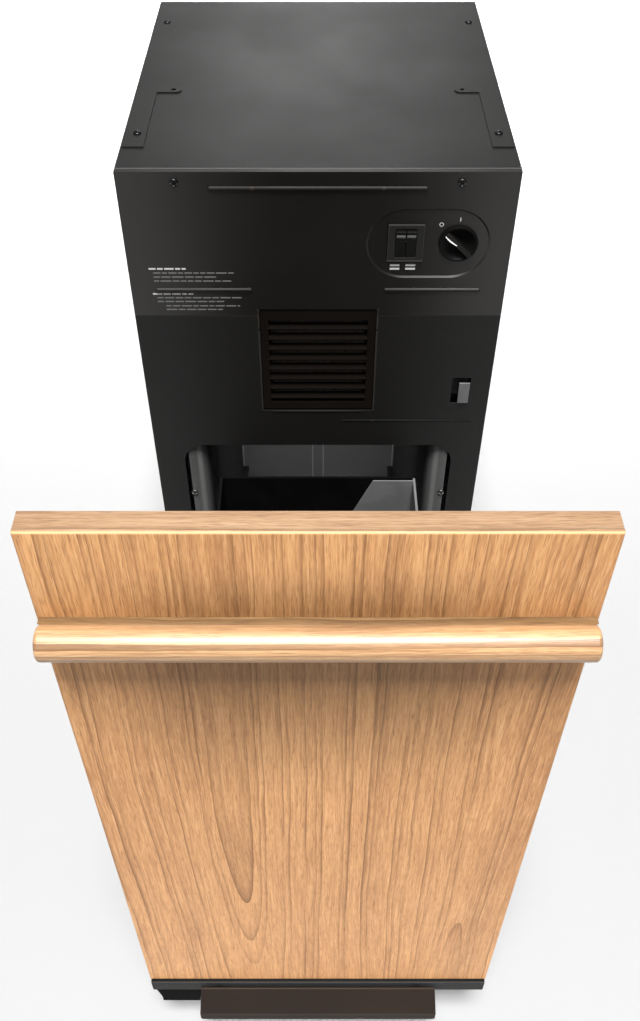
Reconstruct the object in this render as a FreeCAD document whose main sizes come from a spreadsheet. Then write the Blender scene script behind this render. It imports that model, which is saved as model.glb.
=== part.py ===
import FreeCAD, Part
import os
import re
import Sketcher
from FreeCAD import Placement, Rotation, Vector

# Under-counter trash compactor with its drawer pulled fully open.
# Every place below is measured from the cabinet's front face (y), its centre line (x)
# and the floor (z). front_y moves all of it so that the origin is the centre of the
# whole object's footprint, on the floor. x is to the right, y goes back into the cabinet.
SIZES = [
    # cabinet shell
    ("front_y", 31.2, "cabinet front face, from the origin"),
    ("half_wide", 189.7, "half the cabinet width"),
    ("deep", 418.8, "cabinet depth"),
    ("high", 867, "cabinet height"),
    ("skin", 1.5, "cabinet sheet thickness"),
    ("play", 0.2, "gap beside a folded flange"),
    ("foot_high", 14, "underside of the base pan"),
    ("foot_pad_r", 16, "leveling foot pad radius"),
    ("foot_pad_high", 6, "leveling foot pad height"),
    ("foot_nut_r", 8.5, "leveling foot nut radius"),
    ("foot_stem_r", 5, "leveling foot stem radius"),
    ("foot_stem_high", 30, "top of the leveling foot stems"),
    ("pan_inset", 1.7, "gap round the base pan"),
    ("pan_wall", 1.2, "thickness of the base pan's flanges"),
    ("pan_flange_high", 32, "top of the base pan's flanges"),
    ("vent_first", 700, "lower edge of the lowest rear vent"),
    ("vent_pitch", 16, "rear vent spacing"),
    ("vent_high", 5, "rear vent height"),
    ("vent_half", 70, "half the rear vent length"),
    ("panel_low", 707, "lower edge of the control panel"),
    ("top_front", 7, "front edge of the top panel"),
    ("flange", 14, "depth of a folded flange"),
    # drawer opening in the front frame
    ("open_half", 156.6, "half the opening width"),
    ("open_low", 34, "opening sill"),
    ("open_high", 525.8, "opening head"),
    ("open_round", 26, "radius of the opening's upper corners"),
    # filter door and what is behind it
    ("door_half", 60.4, "half the filter door width"),
    ("door_low", 579, "filter door lower edge"),
    ("door_high", 714, "filter door upper edge"),
    ("door_gap", 0.5, "gap round the filter door"),
    ("door_back", 6, "rear of the filter door frame"),
    ("door_front", 1, "front of the filter door, behind the cabinet front"),
    ("bead_wide", 1.6, "width of the raised beads round the filter door"),
    ("bead_high", 0.8, "height of the raised beads round the filter door"),
    ("bead_notch_z", 688.6, "height of the notches in the side beads"),
    ("grille_half", 52, "half the louvre width"),
    ("grille_low", 590, "lowest louvre opening edge"),
    ("grille_high", 700, "highest louvre opening edge"),
    ("louvre_pitch", 13.3, "louvre spacing"),
    ("louvre_first", 595, "height of the lowest louvre"),
    ("louvre_deep", 8, "louvre blade depth"),
    ("louvre_thick", 1.6, "louvre blade thickness"),
    ("louvre_tilt", 35, "louvre blade tilt in degrees"),
    ("hinge_y", 4.5, "filter door hinge, behind the front"),
    ("hinge_z", 583, "filter door hinge height"),
    ("hinge_r", 1.5, "filter door trunnion radius"),
    ("hinge_reach", 2.5, "trunnion length"),
    ("run_gap", 0.05, "radial clearance of a running fit"),
    ("filter_half", 50, "half the filter width"),
    ("fan_r", 42, "fan blade tip radius"),
    ("fan_z", 647, "fan centre height"),
    ("fan_front", 28, "front of the fan housing"),
    ("fan_back", 54, "rear of the fan housing"),
    ("fan_hub_r", 12, "fan hub radius"),
    ("fan_motor_r", 16, "fan motor radius"),
    ("fan_motor_back", 80, "rear of the fan motor"),
    # controls
    ("switch_x", 85.8, "centre of the rocker pair"),
    ("switch_z", 792.1, "height of the rocker pair"),
    ("bezel_half_wide", 17.6, "half the bezel width"),
    ("bezel_half_high", 20, "half the bezel height"),
    ("mouth_half_wide", 10.4, "half the width of the bezel's mouth"),
    ("mouth_half_high", 15.7, "half the height of the bezel's mouth"),
    ("sleeve_wall", 0.8, "wall of the bezel's sleeve"),
    ("rocker_wide", 9.6, "rocker width"),
    ("rocker_gap", 0.35, "gap from a rocker to the centre line between them"),
    ("rocker_peak", 5.5, "ends of a rocker's face, in front of its pivot"),
    ("rocker_waist", 3.8, "middle of a rocker's face, in front of its pivot"),
    ("rocker_half_high", 14.7, "half the rocker height"),
    ("rocker_tilt", 6, "rocker rest tilt in degrees"),
    ("rocker_pivot_y", 3, "rocker pivot behind the front"),
    ("rocker_axle_r", 1.2, "radius of the rockers' shared axle"),
    ("knob_x", 137.5, "key knob centre"),
    ("knob_z", 791, "key knob centre height"),
    ("knob_r", 19, "key knob radius"),
    ("knob_rim", 1.2, "how far the knob's rim stands forward"),
    ("knob_back", 8, "rear of the knob's cup"),
    ("cup_r", 17.2, "radius of the knob cup's mouth"),
    ("cup_deep", 7, "depth of the knob's cup"),
    ("grip_out", 4.5, "how far the knob's grip stands forward"),
    ("grip_half_thick", 2.3, "half the thickness of the knob's grip"),
    ("shaft_end", 22, "rear end of the knob shaft"),
    ("shaft_r", 3.5, "knob shaft radius"),
    ("dish_left", 85.45, "left centre of the sunk area round the controls"),
    ("dish_right", 130.25, "right centre of the sunk area round the controls"),
    ("dish_z", 790.8, "centre height of the sunk area"),
    ("dish_r", 38.25, "outer radius of the sunk area"),
    ("dish_deep", 1.4, "depth of the sunk area"),
    ("dish_slope", 1.7, "width of the sloped wall of the sunk area"),
    ("rib_r", 2.5, "radius of the rounded ribs on the control panel"),
    ("rib_y", 0.45, "axis of the rounded ribs, behind the front"),
    # drawer interlock
    ("flag_x", 161, "interlock plunger centre"),
    ("flag_half", 6, "half the plunger face width"),
    ("flag_low", 591.4, "plunger face lower edge"),
    ("flag_high", 619.4, "plunger face upper edge"),
    ("flag_out", 3, "how far the plunger stands forward"),
    ("stem_z", 605, "plunger stem height"),
    # drive
    ("screw_x", 160, "power screw centre"),
    ("screw_y", 205, "power screw centre"),
    ("screw_r", 9.5, "power screw radius"),
    ("screw_low", 17, "foot of the power screws"),
    ("screw_high", 858, "top of the power screws"),
    ("plate_low", 836, "underside of the drive plate"),
    ("plate_high", 840, "top of the drive plate"),
    ("plate_front", 150, "front edge of the drive plate"),
    ("chain_low", 845, "underside of the sprockets"),
    ("chain_high", 853, "top of the sprockets"),
    ("sprocket_r", 18, "sprocket tip radius"),
    ("sprocket_root_r", 15, "sprocket root radius"),
    ("chain_gap", 0.6, "gap from sprocket tips to the chain"),
    ("chain_thick", 4.4, "chain thickness"),
    ("motor_y", 325, "drive motor axis"),
    ("motor_r", 46, "drive motor radius"),
    ("motor_low", 690, "bottom of the drive motor"),
    ("gear_low", 800, "bottom of the gear case"),
    ("gear_r", 52, "gear case radius"),
    ("output_r", 8, "gear case output shaft radius"),
    # ram
    ("ram_half", 106, "half the ram tray width"),
    ("ram_front", 10, "front of the ram tray"),
    ("ram_back", 400, "rear of the ram tray"),
    ("ram_low", 528, "underside of the ram at rest"),
    ("ram_rim", 566, "rim of the ram tray at rest"),
    ("beam_low", 772, "underside of the ram beam at rest"),
    ("beam_high", 822, "top of the ram beam at rest"),
    ("beam_front", 180, "front of the ram beam"),
    ("beam_back", 230, "rear of the ram beam"),
    ("beam_half", 178, "half the ram beam length"),
    ("nut_r", 17, "power nut radius"),
    ("nut_low", 780, "underside of the power nuts at rest"),
    # side covers of the power screws
    ("cover_x", 128, "inner face of the screw covers"),
    ("cover_front", 3, "front of the screw covers"),
    ("cover_r", 24, "radius of the rounded front of the covers"),
    ("cover_back", 396, "rear of the screw covers"),
    ("cover_high", 560, "top of the screw covers"),
    ("arm_gap_low", 486, "lower end of the arm slots"),
    ("arm_gap_front", 172, "front edge of the arm slots"),
    ("arm_gap_back", 238, "rear edge of the arm slots"),
    # drawer
    ("travel", 415.5, "drawer travel"),
    ("wood_half", 189, "half the wood panel width"),
    ("wood_front", 459.4, "wood panel face, in front of the cabinet"),
    ("wood_back", 440.4, "wood panel rear, in front of the cabinet"),
    ("wood_low", 130.6, "wood panel lower edge"),
    ("wood_high", 871.3, "wood panel upper edge"),
    ("grip_r", 12.7, "handle bar radius"),
    ("grip_half", 187.5, "half the handle bar length"),
    ("grip_y", 474.5, "handle bar axis, in front of the cabinet"),
    ("grip_z", 779.3, "handle bar axis height"),
    ("rail_high", 788.9, "top of the handle rail"),
    ("rail_low", 772, "underside of the handle rail"),
    ("rail_front", 470, "front of the handle rail, in front of the cabinet"),
    ("pan_half", 180, "half the door pan width"),
    ("pan_low", 88, "door pan lower edge"),
    ("pan_high", 845, "door pan upper edge"),
    ("pan_back", 421, "rear edge of the door pan flanges"),
    ("strip_front", 463, "front of the toe strip"),
    ("strip_low", 107.5, "underside of the toe strip"),
    ("strip_high", 130.2, "top of the toe strip"),
    # refuse container
    ("bin_half", 116, "half the container width"),
    ("bin_front", 416, "container front, in front of the cabinet"),
    ("bin_back", 5, "container rear, in front of the cabinet"),
    ("bin_low", 47, "container underside"),
    ("bin_high", 480, "container rim"),
    ("bin_wall", 3, "container wall thickness"),
    ("side_low", 118, "lower edge of the tilting side"),
    ("side_high", 477, "upper edge of the tilting side"),
    ("side_pivot_x", 114.5, "tilting side hinge"),
    ("side_pivot_z", 110, "tilting side hinge height"),
    ("side_pin_r", 2.5, "tilting side hinge pin radius"),
    ("side_tube_r", 4, "tilting side hinge tube radius"),
    ("wing_gap", 0.3, "gap between a wing and the container wall"),
    ("wing_inner", 1.8, "inner face of a wing, from the wall"),
    # slides
    ("slide_front", 8, "front of the closed slides"),
    ("slide_back", 408, "rear of the closed slides"),
    ("slide_low", 60, "underside of the slides"),
    ("slide_high", 105, "top of the slides"),
    ("slide_wall", 1.2, "slide section thickness"),
    ("slide_step", 3, "height step from one member to the next"),
    ("cradle_x", 117.8, "outer face of the drawer cradle"),
    ("cradle_low", 45, "underside of the drawer cradle"),
    # pedal
    ("pedal_half", 135.5, "half the pedal width"),
    ("pedal_pivot_y", 452, "pedal pivot, in front of the cabinet"),
    ("pedal_pivot_z", 95, "pedal pivot height"),
    ("pedal_shaft_r", 4, "pedal shaft radius"),
    ("pedal_tube_r", 6.5, "pedal hinge tube radius"),
    # fasteners
    ("screw_shank_r", 2, "fastener shank radius"),
    ("screw_head_r", 4, "fastener head radius"),
    ("screw_head_high", 2, "fastener head height"),
    ("shank_gap", 0.3, "gap round a fastener shank"),
    ("slot_wide", 1, "width of a fastener's drive slot"),
    ("slot_deep", 1.1, "depth of a fastener's drive slot"),
    ("side_screw_z", 858, "height of the side fasteners"),
    # lead inlet
    ("gland_x", 158, "cord gland centre"),
    ("gland_z", 70, "cord gland centre height"),
    ("gland_flange_r", 12, "cord gland flange radius"),
    ("gland_barrel_r", 8, "cord gland barrel radius"),
    ("gland_bore_r", 4.5, "cord gland bore radius"),
]

SLIDE_LENGTH = "(slide_back - slide_front)"
DRIVE_TOOTH_COUNT = 16
FAN_BLADE_COUNT = 6
FAN_BLADE_TILT = 40
VENT_COUNT = 6

doc = FreeCAD.newDocument("trash_compactor")
sheet = doc.addObject("Spreadsheet::Sheet", "sizes")
for row, (alias, value, note) in enumerate(SIZES, 1):
    sheet.set(f"A{row}", note)
    sheet.set(f"B{row}", str(value))
    sheet.setAlias(f"B{row}", alias)
doc.recompute()

ALIASES = {alias for alias, _, _ in SIZES}
NEAR = 0.1
SIDES = (-1, 1)
SIDE_NAMES = {-1: "left", 1: "right"}
AXIS_TURNS = {
    "x": Rotation(Vector(0, 1, 0), 90),
    "y": Rotation(Vector(1, 0, 0), -90),
    "z": Rotation(),
}
PLANE_ROLES = {"z": "XY_Plane", "y": "XZ_Plane", "x": "YZ_Plane"}
nodes = []


# ---------------------------------------------------------------- building helpers
def size(alias):
    """The value of one cell, for shapes and counts that are worked out in code."""
    return float(sheet.get(alias))


def on_sheet(expression):
    """The expression with every alias in it pointed at the sheet."""
    return re.sub(
        r"[a-z][a-z_]*",
        lambda word: "sizes." + word.group() if word.group() in ALIASES else word.group(),
        str(expression),
    )


def bind(item, property_name, expression):
    item.setExpression(property_name, on_sheet(expression))


def place(item, x, y, z, local=False):
    """Bind an item's own base point. A local item is placed later, with what it is part of."""
    bind(item, "Placement.Base.x", x)
    bind(item, "Placement.Base.y", y if local else f"front_y + ({y})")
    bind(item, "Placement.Base.z", z)


def box(name, x, y, z, local=False):
    """A block between two limits on each axis."""
    part = doc.addObject("Part::Box", name)
    for property_name, (low, high) in zip(("Length", "Width", "Height"), (x, y, z)):
        bind(part, property_name, f"({high}) - ({low})")
    place(part, x[0], y[0], z[0], local)
    return part


def cylinder(name, radius, along, x, y, z, local=False):
    """A round bar. The coordinate along its axis is a pair of limits."""
    part = doc.addObject("Part::Cylinder", name)
    centre = {"x": x, "y": y, "z": z}
    low, high = centre[along]
    centre[along] = low
    part.Placement = Placement(Vector(), AXIS_TURNS[along])
    bind(part, "Radius", radius)
    bind(part, "Height", f"({high}) - ({low})")
    place(part, centre["x"], centre["y"], centre["z"], local)
    return part


def fuse(name, parts):
    whole = doc.addObject("Part::MultiFuse", name)
    whole.Shapes = parts
    whole.Refine = True
    return whole


def group(name, parts):
    """Separate solids that share one node."""
    together = doc.addObject("Part::Compound", name)
    together.Links = parts
    return together


def cut(name, base, tools):
    left = doc.addObject("Part::Cut", name)
    left.Base = base
    left.Tool = tools[0] if len(tools) == 1 else fuse(name + "_tools", tools)
    left.Refine = True
    return left


def common(name, first, second):
    shared = doc.addObject("Part::Common", name)
    shared.Base = first
    shared.Tool = second
    return shared


def prism(name, across, outline, near, far, local=False):
    """A body padded along the axis named by across, from a closed outline.

    The outline's two coordinates are the other two axes, in x, y, z order.
    """
    body = doc.addObject("PartDesign::Body", name)
    role = PLANE_ROLES[across]
    plane = next(item for item in body.Origin.OriginFeatures if item.Role == role)
    sketch = body.newObject("Sketcher::SketchObject", name + "_outline")
    sketch.AttachmentSupport = (plane, "")
    sketch.MapMode = "FlatFace"
    count = len(outline)
    corners = [Rotation(Vector(0, 0, 1), 360 * i / count).multVec(Vector(1, 0, 0)) for i in range(count)]
    for i in range(count):
        sketch.addGeometry(Part.LineSegment(corners[i], corners[(i + 1) % count]))
    for i in range(count):
        sketch.addConstraint(Sketcher.Constraint("Coincident", i, 2, (i + 1) % count, 1))
    for i, point in enumerate(outline):
        for kind, expression in zip(("DistanceX", "DistanceY"), point):
            number = sketch.addConstraint(Sketcher.Constraint(kind, -1, 1, i, 1, 1.0))
            bind(sketch, f"Constraints[{number}]", expression)
    # the XZ plane looks along -y, so its offset is counted from the far limit
    bind(sketch, "AttachmentOffset.Base.z", f"-({far})" if across == "y" else near)
    pad = body.newObject("PartDesign::Pad", name + "_pad")
    pad.Profile = sketch
    bind(pad, "Length", f"({far}) - ({near})")
    if not local:
        bind(body, "Placement.Base.y", "front_y")
    return body


def edge_along(axis):
    """Picks straight edges that run along one axis."""
    direction = {"x": Vector(1, 0, 0), "y": Vector(0, 1, 0), "z": Vector(0, 0, 1)}[axis]

    def wanted(edge):
        if edge.Curve.TypeId != "Part::GeomLine":
            return False
        return abs(edge.tangentAt(edge.FirstParameter).dot(direction)) > 0.999

    return wanted


def round_edges(body, radius, wanted):
    """Fillet the edges of a body's tip that `wanted` picks."""
    doc.recompute()
    tip = body.Tip
    picked = [f"Edge{i}" for i, edge in enumerate(tip.Shape.Edges, 1) if wanted(edge)]
    fillet = body.newObject("PartDesign::Fillet", body.Name + "_round")
    fillet.Base = (tip, picked)
    bind(fillet, "Radius", radius)
    return body


def node(part):
    """Register a finished sub-part. Its label names its file."""
    part.Label = part.Name
    nodes.append(part)
    return part


def mirrored(side, low, high):
    """Two limits on x for the right side, or their mirror image for the left."""
    return (low, high) if side > 0 else (f"-({high})", f"-({low})")


def at_side(side, x):
    return x if side > 0 else f"-({x})"


def screw(name, facing, x, y, z, grip):
    """A slotted fastener. The head's underside is at the given place; grip is the shank length.

    facing is the axis and sign that the head looks along, such as "-y".
    """
    sign, along = facing[0], facing[1]
    centre = {"x": x, "y": y, "z": z}
    seat = centre[along]
    head_top = f"({seat}) {sign} screw_head_high"
    shank_tip = f"({seat}) {'-' if sign == '+' else '+'} {grip}"
    slot_floor = f"({head_top}) {'-' if sign == '+' else '+'} slot_deep"
    head_span = (seat, head_top) if sign == "+" else (head_top, seat)
    shank_span = (shank_tip, seat) if sign == "+" else (seat, shank_tip)
    slot_span = (slot_floor, head_top) if sign == "+" else (head_top, slot_floor)
    head = cylinder(name + "_head", "screw_head_r", along, **{**centre, along: head_span})
    shank = cylinder(name + "_shank", "screw_shank_r", along, **{**centre, along: shank_span})
    spans = {
        axis: (f"({centre[axis]}) - slot_wide / 2", f"({centre[axis]}) + slot_wide / 2") for axis in "xyz"
    }
    long_axis = "x" if along != "x" else "y"
    spans[long_axis] = (
        f"({centre[long_axis]}) - screw_head_r * 0.75", f"({centre[long_axis]}) + screw_head_r * 0.75"
    )
    spans[along] = slot_span
    slot = box(name + "_slot", spans["x"], spans["y"], spans["z"])
    return cut(name, fuse(name + "_blank", [head, shank]), [slot])


def shank_hole(name, along, x, y, z):
    return cylinder(name, "screw_shank_r + shank_gap", along, x, y, z)


# ---------------------------------------------------------------- cabinet shell
TOP_SCREWS = [(-175.3, 354.7), (175.3, 354.7)]
BRACKET_SCREWS = [(-176, 73.8), (176, 73.8)]
SIDE_SCREWS = {-1: 81.5, 1: 126.7}
PANEL_SCREWS = [(-134.6, 856.3), (134.6, 856.3)]
COVER_SCREW_X = 150
COVER_SCREW_HEIGHTS = (120, 445.7)
FOOT_PLACES = [(x, y) for x in (-150, 150) for y in (50, 370)]


def build_side_panels():
    for side in SIDES:
        name = SIDE_NAMES[side] + "_side_panel"
        plate = box(
            name + "_plate",
            mirrored(side, "half_wide - skin", "half_wide"),
            ("skin + play", "deep - skin"),
            ("foot_high", "high - skin"),
        )
        hole = shank_hole(
            name + "_hole",
            "x",
            mirrored(side, "half_wide - 2 * skin", "half_wide + skin"),
            SIDE_SCREWS[side],
            "side_screw_z",
        )
        node(cut(name, plate, [hole]))


def build_back_panel():
    plate = box(
        "back_plate",
        ("-half_wide", "half_wide"),
        ("deep - skin", "deep"),
        ("foot_high", "high - skin"),
    )
    bead = box("back_bead", (-9, 9), ("deep - skin - 3", "deep - skin"), (40, 540))
    posts = [
        box(
            SIDE_NAMES[side] + "_rear_post",
            mirrored(side, 131, 140),
            (405, "deep - skin"),
            ("open_low", 540),
        )
        for side in SIDES
    ]
    through_sheet = ("deep - 2 * skin", "deep + skin")
    vents = [
        box(
            f"back_vent_{i}",
            ("-vent_half", "vent_half"),
            through_sheet,
            (f"vent_first + {i} * vent_pitch", f"vent_first + {i} * vent_pitch + vent_high"),
        )
        for i in range(VENT_COUNT)
    ]
    gland_hole = cylinder("gland_hole", "gland_barrel_r + 0.2", "y", "gland_x", through_sheet, "gland_z")
    bumper_seats = [
        box(
            SIDE_NAMES[side] + "_bumper_seat",
            mirrored(side, 130.9, 136),
            (404, "deep - skin"),
            (76.8, 98.2),
        )
        for side in SIDES
    ]
    node(
        cut("back_panel", fuse("back_blank", [plate, bead] + posts), vents + bumper_seats + [gland_hole])
    )


def build_top_panel():
    plate = prism(
        "top_plate",
        "x",
        [
            ("top_front", "high - flange"),
            ("top_front + skin", "high - flange"),
            ("top_front + skin", "high - skin"),
            ("deep", "high - skin"),
            ("deep", "high"),
            ("top_front", "high"),
        ],
        "-half_wide",
        "half_wide",
    )

    def at_front_top(edge):
        bounds = edge.BoundBox
        in_front = bounds.YMax < size("top_front") + NEAR
        on_top = bounds.ZMin > size("high") - NEAR
        return edge_along("x")(edge) and in_front and on_top

    round_edges(plate, "skin - 0.3", at_front_top)
    driver_holes = [
        cylinder(
            f"driver_hole_{side}", 4, "z", at_side(side, 150), 172, ("high - 2 * skin", "high + skin")
        )
        for side in SIDES
    ]
    front_trim = [
        box(
            SIDE_NAMES[side] + "_front_trim",
            mirrored(side, "half_wide - skin - play", "half_wide + skin"),
            (0, "top_front + skin + 1"),
            ("high - flange - 1", "high - skin"),
        )
        for side in SIDES
    ]
    flanges = [
        box(
            SIDE_NAMES[side] + "_top_flange",
            mirrored(side, "half_wide - 2 * skin", "half_wide - skin"),
            ("flange", "deep - flange"),
            ("high - 1.5 * flange", "high - skin"),
        )
        for side in SIDES
    ]
    holes = [
        shank_hole(f"top_hole_{i}", "z", x, y, ("high - 2 * skin", "high + skin"))
        for i, (x, y) in enumerate(TOP_SCREWS + BRACKET_SCREWS)
    ]
    holes += [
        shank_hole(
            SIDE_NAMES[side] + "_flange_hole",
            "x",
            mirrored(side, "half_wide - 3 * skin", "half_wide"),
            SIDE_SCREWS[side],
            "side_screw_z",
        )
        for side in SIDES
    ]
    holes += [
        shank_hole(f"top_lip_hole_{i}", "y", x, ("top_front - 1", "top_front + 2 * skin"), z)
        for i, (x, z) in enumerate(PANEL_SCREWS)
    ]
    node(cut("top_panel", fuse("top_blank", [plate] + flanges), front_trim + holes + driver_holes))


def build_base_pan():
    across = ("-half_wide + pan_inset", "half_wide - pan_inset")
    upright = ("foot_high", "pan_flange_high")
    plate = box("pan_plate", across, ("pan_inset", "deep - pan_inset"), ("foot_high", "foot_high + skin"))
    front = box("pan_front", across, ("pan_inset", "pan_inset + pan_wall"), upright)
    back = box("pan_back_flange", across, ("deep - pan_inset - pan_wall", "deep - pan_inset"), upright)
    holes = [
        cylinder(f"foot_hole_{i}", "foot_stem_r + play", "z", x, y, ("foot_high - 4", "foot_high + 6"))
        for i, (x, y) in enumerate(FOOT_PLACES)
    ]
    node(cut("base_pan", fuse("pan_blank", [plate, front, back]), holes))


def build_leveling_feet():
    feet = []
    for i, (x, y) in enumerate(FOOT_PLACES):
        pad = cylinder(f"foot_pad_{i}", "foot_pad_r", "z", x, y, (0, "foot_pad_high"))
        nut = cylinder(f"foot_nut_{i}", "foot_nut_r", "z", x, y, ("foot_pad_high", "foot_high"))
        stem = cylinder(f"foot_stem_{i}", "foot_stem_r", "z", x, y, ("foot_pad_high", "foot_stem_high"))
        feet.append(fuse(f"foot_{i}", [pad, nut, stem]))
    node(group("leveling_feet", feet))


def build_front_frame():
    plate = box("front_plate", ("-half_wide", "half_wide"), (0, "skin"), ("foot_high", "panel_low - 0.4"))
    returns = [
        box(
            SIDE_NAMES[side] + "_front_return",
            mirrored(side, "half_wide - 2 * skin - play", "half_wide - skin - play"),
            (0, "flange"),
            (34, 700),
        )
        for side in SIDES
    ]
    returns += [
        box(
            SIDE_NAMES[side] + "_jamb",
            mirrored(side, "open_half + 1", "open_half + 2.5"),
            (0, 11),
            (40, 500),
        )
        for side in SIDES
    ]
    raised = ("-bead_high", 0)
    seam_rib = box("seam_rib", (27.4, 174.7), raised, (563, 564.4))
    beads = [box("door_bead_low", (-50, 50), raised, ("door_low - 2.6", "door_low - 1"))]
    for side in SIDES:
        across = mirrored(side, "door_half + door_gap + 0.2", "door_half + door_gap + 0.2 + bead_wide")
        spans = (("door_low - 1", "bead_notch_z - 1.5"), ("bead_notch_z + 1.5", "panel_low - 0.4"))
        beads += [
            box(f"{SIDE_NAMES[side]}_door_bead_{i}", across, raised, span) for i, span in enumerate(spans)
        ]
    ears = [
        box(
            SIDE_NAMES[side] + "_hinge_ear",
            mirrored(side, "door_half + door_gap + 0.3", "door_half + hinge_reach + 1.5"),
            (0, "hinge_y + 4"),
            ("hinge_z - 5", "hinge_z + 5"),
        )
        for side in SIDES
    ]
    opening = prism(
        "drawer_opening",
        "y",
        [
            ("-open_half", "open_low"),
            ("open_half", "open_low"),
            ("open_half", "open_high"),
            ("-open_half", "open_high"),
        ],
        "-skin",
        "3 * skin",
    )

    def at_head(edge):
        return edge_along("y")(edge) and edge.BoundBox.ZMin > size("open_high") - NEAR

    round_edges(opening, "open_round", at_head)
    filter_opening = box(
        "filter_opening",
        ("-door_half - door_gap", "door_half + door_gap"),
        (-2, 3),
        ("door_low - door_gap", "panel_low + 1"),
    )
    window = box(
        "flag_window",
        ("flag_x - 13.5", "flag_x + flag_half + 0.8"),
        (-2, 3),
        ("flag_low - 2.4", "flag_high + 5.2"),
    )
    trunnion_holes = [
        cylinder(
            SIDE_NAMES[side] + "_trunnion_hole",
            "hinge_r + run_gap",
            "x",
            mirrored(side, "door_half", "door_half + 6"),
            "hinge_y",
            "hinge_z",
        )
        for side in SIDES
    ]
    node(
        cut(
            "front_frame",
            fuse("front_blank", [plate, seam_rib] + beads + returns + ears),
            [opening, filter_opening, window] + trunnion_holes,
        )
    )


def control_dish():
    """The shallow sunk area round the controls, with sloped walls. It is cut from the panel."""
    depth = ("-dish_deep / 2", "dish_deep")
    mouth_r = "dish_r + dish_slope / 2"
    floor_r = "dish_r - dish_slope"
    ends = []
    for name, x in (("left", "dish_left"), ("right", "dish_right")):
        end = doc.addObject("Part::Cone", f"dish_{name}_end")
        end.Placement = Placement(Vector(), AXIS_TURNS["y"])
        bind(end, "Radius1", mouth_r)
        bind(end, "Radius2", floor_r)
        bind(end, "Height", f"({depth[1]}) - ({depth[0]})")
        place(end, x, depth[0], "dish_z")
        ends.append(end)
    middle = prism(
        "dish_middle",
        "x",
        [
            (depth[0], f"dish_z - ({mouth_r})"),
            (depth[1], f"dish_z - ({floor_r})"),
            (depth[1], f"dish_z + ({floor_r})"),
            (depth[0], f"dish_z + ({mouth_r})"),
        ],
        "dish_left",
        "dish_right",
    )
    return fuse("control_dish", ends + [middle])


def rib(name, x, z):
    """A rounded rib along x with domed ends."""
    bar = cylinder(name + "_bar", "rib_r", "x", (f"({x[0]}) + rib_r", f"({x[1]}) - rib_r"), "rib_y", z)
    domes = []
    for i, centre in enumerate((f"({x[0]}) + rib_r", f"({x[1]}) - rib_r")):
        dome = doc.addObject("Part::Sphere", f"{name}_dome_{i}")
        bind(dome, "Radius", "rib_r")
        place(dome, centre, "rib_y", z)
        domes.append(dome)
    return fuse(name, [bar] + domes)


def build_control_panel():
    layers = [
        box("panel_face", ("-half_wide", "half_wide"), (0, "skin"), ("panel_low", "high")),
        box(
            "panel_core",
            ("-half_wide + 1.7", "half_wide - 1.7"),
            ("skin", 3),
            ("panel_low", "high - 0.5"),
        ),
        box("panel_lip", ("-half_wide", "half_wide"), (0, "top_front - 1"), ("high - 1.3", "high")),
        rib("upper_rib", (-104, 104), 850),
    ]
    for side in SIDES:
        name = SIDE_NAMES[side]
        layers.append(rib(name + "_lower_rib", mirrored(side, 66, 165), 738))
        bead_x = mirrored(side, "door_half + door_gap + 0.2", "door_half + door_gap + 0.2 + bead_wide")
        layers.append(
            box(name + "_upper_bead", bead_x, ("-bead_high", 0), ("panel_low", "door_high + 1"))
        )
    sleeve_room = "1.25 * sleeve_wall"
    openings = [
        control_dish(),
        box(
            "switch_hole",
            (f"switch_x - mouth_half_wide - {sleeve_room}", f"switch_x + mouth_half_wide + {sleeve_room}"),
            (-2, 5),
            (f"switch_z - mouth_half_high - {sleeve_room}", f"switch_z + mouth_half_high + {sleeve_room}"),
        ),
        cylinder("knob_hole", "knob_r + 6 * run_gap", "y", "knob_x", (-2, 5), "knob_z"),
        box(
            "door_notch",
            ("-door_half - door_gap", "door_half + door_gap"),
            (-2, 5),
            ("panel_low - 2", "door_high + door_gap"),
        ),
    ]
    openings += [
        shank_hole(f"panel_hole_{i}", "y", x, (-2, 5), z) for i, (x, z) in enumerate(PANEL_SCREWS)
    ]
    node(cut("control_panel", fuse("panel_blank", layers), openings))


def build_countertop_brackets():
    """Flat plates on the top panel, each with a hooked tab that screws to a countertop."""
    plates = []
    for side in SIDES:
        name = SIDE_NAMES[side] + "_bracket"
        strip = box(name + "_strip", mirrored(side, 167, 188), (46.6, 178), ("high", "high + skin"))
        tab = box(name + "_tab", mirrored(side, 148, 170), (166, 178), ("high", "high + skin"))
        nose = cylinder(name + "_nose", 6, "z", at_side(side, 148), 172, ("high", "high + skin"))
        tab_hole = cylinder(
            name + "_tab_hole", 2.4, "z", at_side(side, 150), 172, ("high - 1", "high + 3")
        )
        screw_hole = shank_hole(name + "_hole", "z", at_side(side, 176), 73.8, ("high - 1", "high + 3"))
        plates.append(cut(name, fuse(name + "_blank", [strip, tab, nose]), [tab_hole, screw_hole]))
    node(group("countertop_brackets", plates))


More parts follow.
